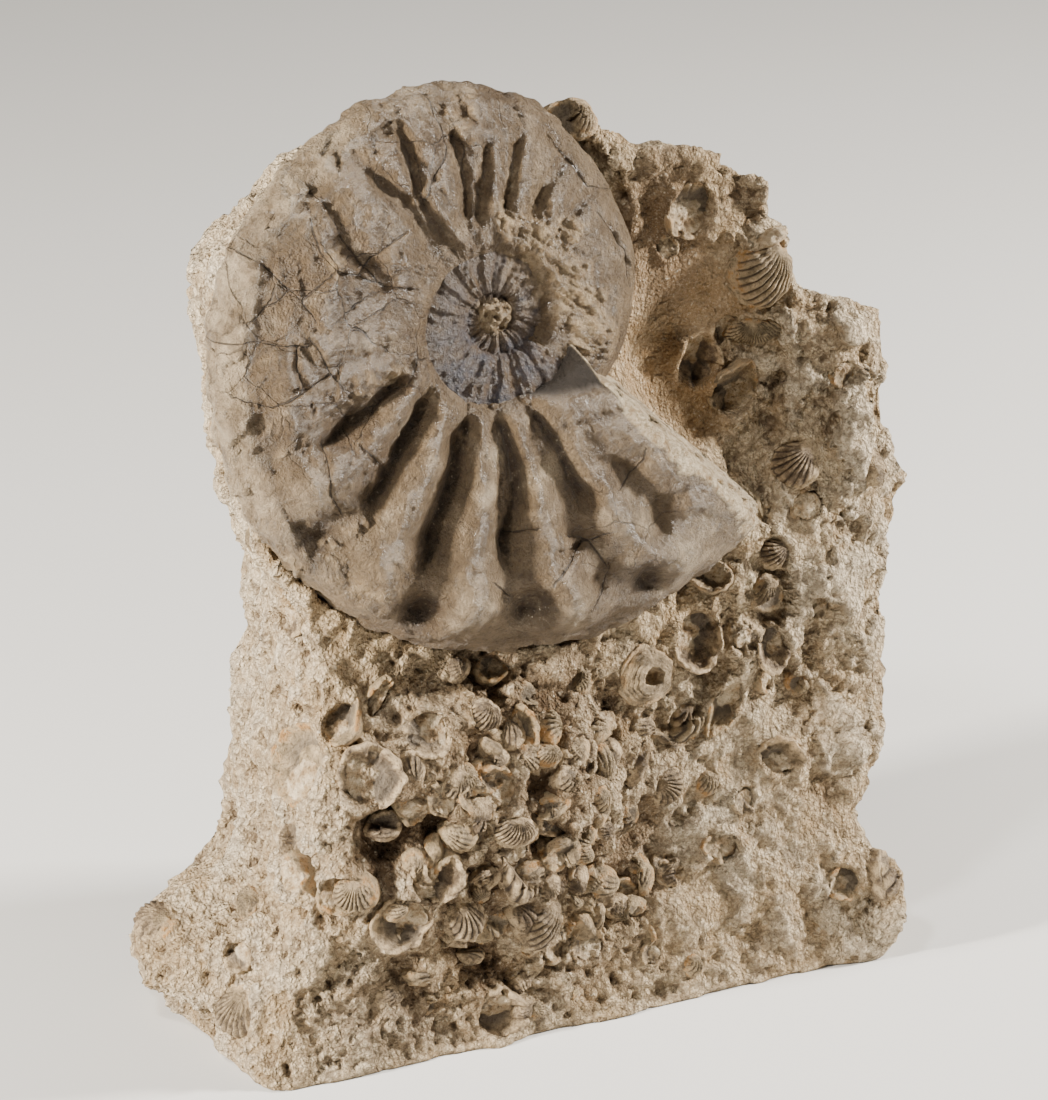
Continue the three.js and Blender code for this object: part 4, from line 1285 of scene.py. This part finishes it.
def limestone(look):
    """Shelly limestone, split and prepared: dull, grainy, brown in its pores with painted shade in its
    grain gaps and hollows, chalky on top, with painted light on its left face and right part, and painted
    shadow in places.
    """
    # Its own grains are a fraction of a millimetre, too fine to show, so they are drawn 0.66, 1.1
    # and 2.4 mm wide.
    patterns = (50, 3, 0.6), (9.5, 6, 0.68), (3, 5, 0.7), (0.66, 3, 0.8)
    material, tree, place, (wide, blotch, grain, sugar) = new_material("limestone", *patterns)
    coarse, fine = grains(tree, place, 2.4, 1.1)
    # Painted shade in the gaps between grains, together with the brown of the pores.
    pore_and_gap_shade = add(tree, "Math", {0: (coarse, 0.42, 0.66), 1: (fine, 0.45, 0.7, 0, 0.75)}, **MOST)
    pore_and_gap_shade = add(tree, "Math", {0: pore_and_gap_shade, 1: (grain, 0.46, 0.34)}, **MOST)
    pore_and_gap_shade = add(tree, "Math", {0: pore_and_gap_shade, 1: (blotch, 0.62, 0.4, 0.45, 1)}, **TIMES)
    # Painted shade in the hollows is added to the pores.
    dirt_and_shade = add(tree, "Math", {0: pore_and_gap_shade, 1: ("stain", 0, 1, 0.75, 0.3), 2: "hollow"}, **PLUS)
    base = coats(
        tree, look.cream,
        (look.sand, (wide, 0.35, 0.65)),
        (look.ochre, (blotch, 0.46, 0.7)),
        (look.rust, "stain", 0.6),
        # Painted light with chalk on raised grains: the chalk mark lightens the left face, the right part
        # and the sandy foot.
        (look.chalk, "chalk", 0.7),
        # Painted shade and shadow: the shell bed's low places and the shaded patches get the drab colour.
        (look.drab, "bed", 0.75),
        (look.drab, (sugar, 0.5, 0.36), 0.45),
        (look.chalk, (sugar, 0.56, 0.68), 0.5),
        # Painted shade of the grain gaps and hollows, with the brown pores.
        (look.earth, dirt_and_shade, 0.85),
        (look.chalk, (coarse, 0.25, 0.1), (grain, 0.45, 0.6), 0.7),
    )
    rows = (blotch, 0.3), (grain, 0.45), (coarse, -0.32), (fine, -0.2), (sugar, 0.12)
    skin = rough_skin(tree, 9, *rows)
    inputs = {"Base Color": base, "Normal": skin, "Roughness": 0.95, "Specular IOR Level": 0.2}
    connect(tree, tree.nodes["Principled BSDF"], inputs)
    return material


def plate_tilt(tree, warped):
    """Height of the splintered plates of shell in metres, and the distance to their edges."""
    inputs = {"Vector": warped, "Scale": 1 / (16 * MM)}
    colour = add(tree, "TexVoronoi", inputs, "Color")
    shift = add(tree, "VectorMath", {0: colour, 1: (0.5, 0.5, 0.5)}, operation="SUBTRACT")
    centre = colour.node.outputs["Position"]
    middle = add(tree, "VectorMath", {0: warped, 1: centre}, operation="SUBTRACT")
    slope = add(tree, "VectorMath", {0: shift, 1: middle}, "Value", operation="DOT_PRODUCT")
    return slope, add(tree, "TexVoronoi", inputs, "Distance", feature="DISTANCE_TO_EDGE")


def crack_lines(tree, blotch, plates_edge, wide):
    """The drawn cracks, broken in places, and the fine seams between the plates."""
    side = add(tree, "Math", {0: "crack_side"}, operation="ABSOLUTE")
    gap = add(tree, "Math", {0: side, 1: (blotch, 0.38, 0.62, 0, 0.34)}, operation="SUBTRACT")
    drawn = add(tree, "Math", {0: (gap, 0.1, -0.08), 1: ("crack", 1.6, 1.2)}, **TIMES)
    fine = add(tree, "Math", {0: (plates_edge, 0.018, 0.006), 1: "plates"}, **TIMES)
    fine = add(tree, "Math", {0: fine, 1: (wide, 0.42, 0.58)}, **TIMES)
    return add(tree, "Math", {0: drawn, 1: fine}, **MOST)


def worn_shell(look):
    """Shell turned to calcite, brushed clean: taupe, satin, cracked, chalky where it flakes, with painted
    shade in its furrows, on the triangle at the mouth and on the splintered plates, and painted
    highlights among its pale wear.
    """
    # The grit that still clings to it is too fine to show, so it is drawn 1 mm wide.
    patterns = (36, 4, 0.6), (7.7, 6, 0.7), (2.4, 5, 0.72), (1, 4, 0.75)
    material, tree, place, (wide, blotch, grain, grit) = new_material("worn_shell", *patterns)
    warp = add(tree, "TexNoise", {"Vector": place, "Scale": 1 / (11 * MM), "Detail": 4}, "Color")
    tilt, edge = plate_tilt(tree, shifted(tree, place, warp, 7))
    slate = coats(
        tree, look.umber, (look.slate, (blotch, 0.36, 0.6)), (look.bark, (grain, 0.48, 0.34, 0, 0.7))
    )
    rock = coats(
        tree, look.ochre, (look.cream, (grain, 0.36, 0.56)), (look.drab, (blotch, 0.5, 0.34), 0.7)
    )
    crust = add(tree, "Math", {0: "crust", 1: (blotch, 0.4, 0.6, 0.3, 0.85)}, **TIMES)
    stuck = add(tree, "Math", {0: crust, 1: "broken"}, **MOST)
    crumbs = add(tree, "Math", {0: (grain, 0.64, 0.72), 1: (grit, 0.62, 0.7)}, **MOST)
    patchy = add(tree, "Math", {0: "furrow", 1: 0.6, 2: (blotch, 0.54, 0.66, 0.05, 0.7)}, **PLUS)
    patchy = add(tree, "Math", {0: patchy, 1: "wing"}, operation="SUBTRACT", use_clamp=True)
    line = crack_lines(tree, blotch, edge, wide)
    line = add(tree, "Math", {0: line, 1: (stuck, 0, 1, 1, 0)}, **TIMES)
    base = coats(
        tree, look.taupe,
        (look.umber, (wide, 0.3, 0.7)),
        # Painted shade: the plates mark darkens the splintered plates.
        (look.umber, "plates", 0.6),
        (look.bark, (blotch, 0.52, 0.32), 0.5),
        (look.bone, (blotch, 0.56, 0.7), 0.45),
        (look.bark, (grit, 0.46, 0.34), 0.7),
        # Pale wear together with painted highlights on rib crests and on the keel on the left.
        (look.bone, "worn", (blotch, 0.4, 0.6, 0.2, 0.75)),
        # Painted shade: the furrow mark darkens the furrows between the ribs and the hollows by the
        # tubercles.
        (look.bark, "furrow", (grain, 0.62, 0.42, 0.45, 0.95)),
        (slate, "inner"),
        # Painted shade: the sunken triangle at the mouth is coloured near black, as if it lay in shadow.
        (look.ink, "wing", 0.95),
        (coats(tree, look.ochre, (look.sand, (grain, 0.36, 0.56))), crust),
        (rock, "broken"),
        (look.chalk, crumbs, patchy),
        (look.crack, line, 0.8),
    )
    rows = (blotch, 0.35), (grain, 0.5), (grit, (stuck, 0, 1, 0.28, 0.78)), (line, -0.3)
    skin = rough_skin(tree, 7.5, *rows, use_clamp=True)
    tilt = add(tree, "Math", {0: tilt, 1: "plates"}, operation="MULTIPLY")
    skin = add(tree, "Bump", {"Height": tilt, "Strength": 1.0, "Distance": 0.35, "Normal": skin})
    dull = add(tree, "Math", {0: stuck, 1: (blotch, 0.35, 0.65, 0.31, 0.52)}, **MOST)
    dull = add(tree, "Math", {0: dull, 1: "wing"}, **MOST)
    inputs = {"Base Color": base, "Normal": skin, "Roughness": dull}
    connect(tree, tree.nodes["Principled BSDF"], inputs)
    return material


def valve_calcite(look):
    """Brachiopod calcite: grey and satin inside, beige with rust on the worn rims."""
    # Its crystals are too fine to show, so the grit is drawn 1.1 mm wide.
    material, tree, _, (blotch, grit) = new_material("valve_calcite", (4.2, 5, 0.68), (1.1, 4, 0.75))
    rim = coats(tree, look.sand, (look.orange, ("luck", 0.35, 0.65), (blotch, 0.45, 0.58), 0.85))
    mud = coats(tree, look.ochre, (look.cream, (blotch, 0.4, 0.62)))
    base = coats(
        tree, look.umber,
        (look.buff, "luck"),
        (look.sand, (blotch, 0.45, 0.68), 0.8),
        (look.smoke, "depth", 0.85),
        (rim, "rim", (blotch, 0.35, 0.6)),
        (mud, "fill", 0.85),
        # Painted shade: the grooves between the ribs of the valves are darkened.
        (look.bark, "groove", 0.85),
        (look.bark, (blotch, 0.42, 0.3), 0.6),
        (look.bark, (grit, 0.46, 0.34), 0.6),
    )
    skin = rough_skin(tree, 4, (blotch, 0.6), (grit, 0.5), use_clamp=True)
    inputs = {"Base Color": base, "Normal": skin, "Roughness": 0.68}
    connect(tree, tree.nodes["Principled BSDF"], inputs)
    return material


def floor_paper(look):
    """Matt studio paper with a hardly visible cloudiness."""
    # Its fibres are too fine to show, so only clouds 250 mm wide are drawn.
    material, tree, _, (clouds,) = new_material("floor_paper", (250, 4, 0.6))
    shade = [channel * 0.94 for channel in look.floor[:3]] + [1.0]
    base = coats(tree, shade, (look.floor, clouds))
    connect(tree, tree.nodes["Principled BSDF"], {"Base Color": base, "Roughness": 0.9})
    return material


# Stage


def soft_lights(look):
    """A strong light from the left that grazes the front, one from the right and one above."""
    for name, place, size, share, colour in LIGHTS:
        bpy.ops.object.light_add(type="AREA", location=place)
        lamp = bpy.context.object
        lamp.name = name
        lamp.data.size = size
        lamp.data.energy = look.key_power * share
        lamp.data.color = colour
        lamp.rotation_euler = (LIGHTS_AIM - Vector(place)).to_track_quat("-Z", "Y").to_euler()
    world = bpy.data.worlds.new("studio")
    world.use_nodes = True
    background = world.node_tree.nodes["Background"]
    background.inputs["Color"].default_value = linear(ROOM_COLOUR)
    background.inputs["Strength"].default_value = look.world_light
    bpy.context.scene.world = world


def photograph_camera():
    """The camera at the photograph's viewing angle."""
    data = bpy.data.cameras.new("camera")
    camera = bpy.data.objects.new("camera", data)
    bpy.context.scene.collection.objects.link(camera)
    azimuth, elevation = math.radians(CAMERA_AZIMUTH), math.radians(CAMERA_ELEVATION)
    level = math.cos(elevation)
    back = Vector((math.sin(azimuth) * level, -math.cos(azimuth) * level, math.sin(elevation)))
    camera.location = CAMERA_AIM + back * CAMERA_DISTANCE
    camera.rotation_euler = (-back).to_track_quat("-Z", "Y").to_euler()
    data.sensor_fit = "VERTICAL"
    data.sensor_height = PICTURE_HEIGHT
    data.lens = LENS
    bpy.context.scene.camera = camera


# Settings


def colour_setting(label, description, colour):
    """A colour that a user can change."""
    return bpy.props.FloatVectorProperty(
        name=label, description=description, subtype="COLOR", size=4, min=0, max=1, default=linear(colour)
    )


class AmmoniteSettings(bpy.types.PropertyGroup):
    """Sizes and colours of the fossil, its rock and the stage."""

    rock_grain: bpy.props.FloatProperty(
        name="Rock Grain", description="Size of the rock's mesh faces", default=0.0011, min=0.0008,
        max=0.004, unit="LENGTH", precision=4,
    )
    rock_roughness: bpy.props.FloatProperty(
        name="Rock Roughness", description="Strength of the rock's lumps and pits", default=1.0,
        min=0, max=1.5,
    )
    rib_strength: bpy.props.FloatProperty(
        name="Rib Strength", description="Depth of the ammonite's furrows", default=1.0, min=0, max=1.5,
    )
    flake_count: bpy.props.IntProperty(
        name="Loose Valves", description="Small broken valves scattered in the shell bed", default=90,
        min=1, max=150,
    )
    key_power: bpy.props.FloatProperty(
        name="Key Light", description="Power of the light from the left", default=80, min=1, unit="POWER",
    )
    world_light: bpy.props.FloatProperty(
        name="Room Light", description="Strength of the light from all around", default=0.09, min=0,
    )
    cream: colour_setting("Cream", "Fresh limestone", "#E6D3B2")
    sand: colour_setting("Sand", "Sandy limestone", "#D0B68F")
    ochre: colour_setting("Ochre", "Stained limestone", "#AC8E66")
    # Limestone of the shell bed, and painted shade and shadow on the rock.
    drab: colour_setting("Drab", "Limestone of the shell bed", "#765F45")
    rust: colour_setting("Rust", "Stain of the bowl beside the ammonite", "#A17F57")
    # Powdery limestone on raised grains, and painted light on the rock's left face, right part and sandy
    # foot.
    chalk: colour_setting("Chalk", "Powdery limestone on raised grains", "#F0E1C6")
    # Brown of the pores, and painted shade in the gaps between grains and in the hollows.
    earth: colour_setting("Earth", "Pores and deep hollows", "#55402B")
    taupe: colour_setting("Taupe", "Worn ammonite shell", "#806D53")
    # Darker clouds of the shell, and painted shade on the splintered plates.
    umber: colour_setting("Umber", "Darker clouds of the shell", "#66533C")
    # Painted shade in the furrows of the ammonite and the grooves of the valves, and dark mottling of
    # shell and valves.
    bark: colour_setting("Bark", "Furrows between the ribs", "#3D2F22")
    slate: colour_setting("Slate", "Blue grey shell in the umbilicus", "#484750")
    # Painted shade for the sunken triangle between the umbilicus and the mouth.
    ink: colour_setting("Ink", "Dark shell in the umbilicus and at the mouth", "#2B231A")
    crack: colour_setting("Crack", "Cracks", "#33281C")
    # Worn pale places of the shell, together with painted highlights.
    bone: colour_setting("Bone", "Worn pale places of the shell", "#BAA78A")
    buff: colour_setting("Buff", "Beige brachiopods", "#93805F")
    smoke: colour_setting("Smoke", "Grey inside of open valves", "#64594B")
    orange: colour_setting("Orange", "Broken edges of valves", "#A0702F")
    floor: colour_setting("Floor", "Studio paper", "#CFCDC9")


# Operators


class AMMONITE_OT_block(bpy.types.Operator):
    """Models the limestone block with its rough skin"""

    bl_idname = "ammonite.block"
    bl_label = "Limestone Block"

    def execute(self, context):
        look = context.scene.ammonite
        stone = Stone()
        beds = [row[1:] for row in valve_beds(stone)] + fragment_beds(stone)
        rock = limestone_block(beds, look)
        hand_in(rock, "matrix", limestone(look))
        return {"FINISHED"}


class AMMONITE_OT_shell(bpy.types.Operator):
    """Models the ammonite: the outer whorl, the inner whorls and the core"""

    bl_idname = "ammonite.shell"
    bl_label = "Ammonite"

    def execute(self, context):
        look = context.scene.ammonite
        shell = join("ammonite_shell", [outer_whorl(look.rib_strength), inner_whorls(), core()])
        hand_in(shell, "ammonite", worn_shell(look))
        return {"FINISHED"}


class AMMONITE_OT_valves(bpy.types.Operator):
    """Models the brachiopods that have a solid of their own"""

    bl_idname = "ammonite.valves"
    bl_label = "Brachiopods"

    def execute(self, context):
        calcite = valve_calcite(context.scene.ammonite)
        for name, bed, measures, number in valve_beds(Stone()):
            piece = valve(name.replace("brachiopod", "valve"), bed, measures, number)
            hand_in(piece, name, calcite)
        return {"FINISHED"}


class AMMONITE_OT_debris(bpy.types.Operator):
    """Models the smaller brachiopods and the loose flakes of the shell bed"""

    bl_idname = "ammonite.debris"
    bl_label = "Shell Debris"

    def execute(self, context):
        look = context.scene.ammonite
        calcite = valve_calcite(look)
        stone = Stone()
        rows = fragment_beds(stone)
        pieces = [valve(f"fragment_{row[2]}", *row, FRAGMENT_ROOT, FRAGMENT_DETAIL) for row in rows]
        hand_in(join("shell_debris", pieces), None, calcite)
        rows = flake_beds(stone, look.flake_count)
        pieces = [valve(f"flake_{row[2]}", *row, FRAGMENT_ROOT, FLAKE_DETAIL) for row in rows]
        hand_in(join("shell_flakes", pieces), None, calcite)
        return {"FINISHED"}


class AMMONITE_OT_stage(bpy.types.Operator):
    """Sets up the floor, the lights and the camera"""

    bl_idname = "ammonite.stage"
    bl_label = "Stage"

    def execute(self, context):
        look = context.scene.ammonite
        bpy.ops.object.select_all(action="DESELECT")
        bpy.ops.mesh.primitive_plane_add(size=FLOOR_WIDTH, location=(0, 0, 0))
        floor = context.object
        floor.name = "floor"
        floor.data.materials.append(floor_paper(look))
        soft_lights(look)
        photograph_camera()
        return {"FINISHED"}


class AMMONITE_PT_sidebar(bpy.types.Panel):
    """Settings and steps of the ammonite"""

    bl_label = "Ammonite"
    bl_space_type = "VIEW_3D"
    bl_region_type = "UI"
    bl_category = "Ammonite"

    def draw(self, context):
        look = context.scene.ammonite
        for name in AmmoniteSettings.__annotations__:
            self.layout.prop(look, name)
        for step in STEPS:
            self.layout.operator(step.bl_idname)


STEPS = (AMMONITE_OT_block, AMMONITE_OT_shell, AMMONITE_OT_valves, AMMONITE_OT_debris, AMMONITE_OT_stage)
CLASSES = (AmmoniteSettings, *STEPS, AMMONITE_PT_sidebar)


def register():
    for part in CLASSES:
        bpy.utils.register_class(part)
    bpy.types.Scene.ammonite = bpy.props.PointerProperty(type=AmmoniteSettings)


def unregister():
    del bpy.types.Scene.ammonite
    for part in reversed(CLASSES):
        bpy.utils.unregister_class(part)


def main():
    """Builds everything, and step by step."""
    register()
    bpy.ops.ammonite.block()
    bpy.ops.ammonite.shell()
    bpy.ops.ammonite.valves()
    bpy.ops.ammonite.debris()
    bpy.ops.ammonite.stage()


if __name__ == "__main__":
    main()
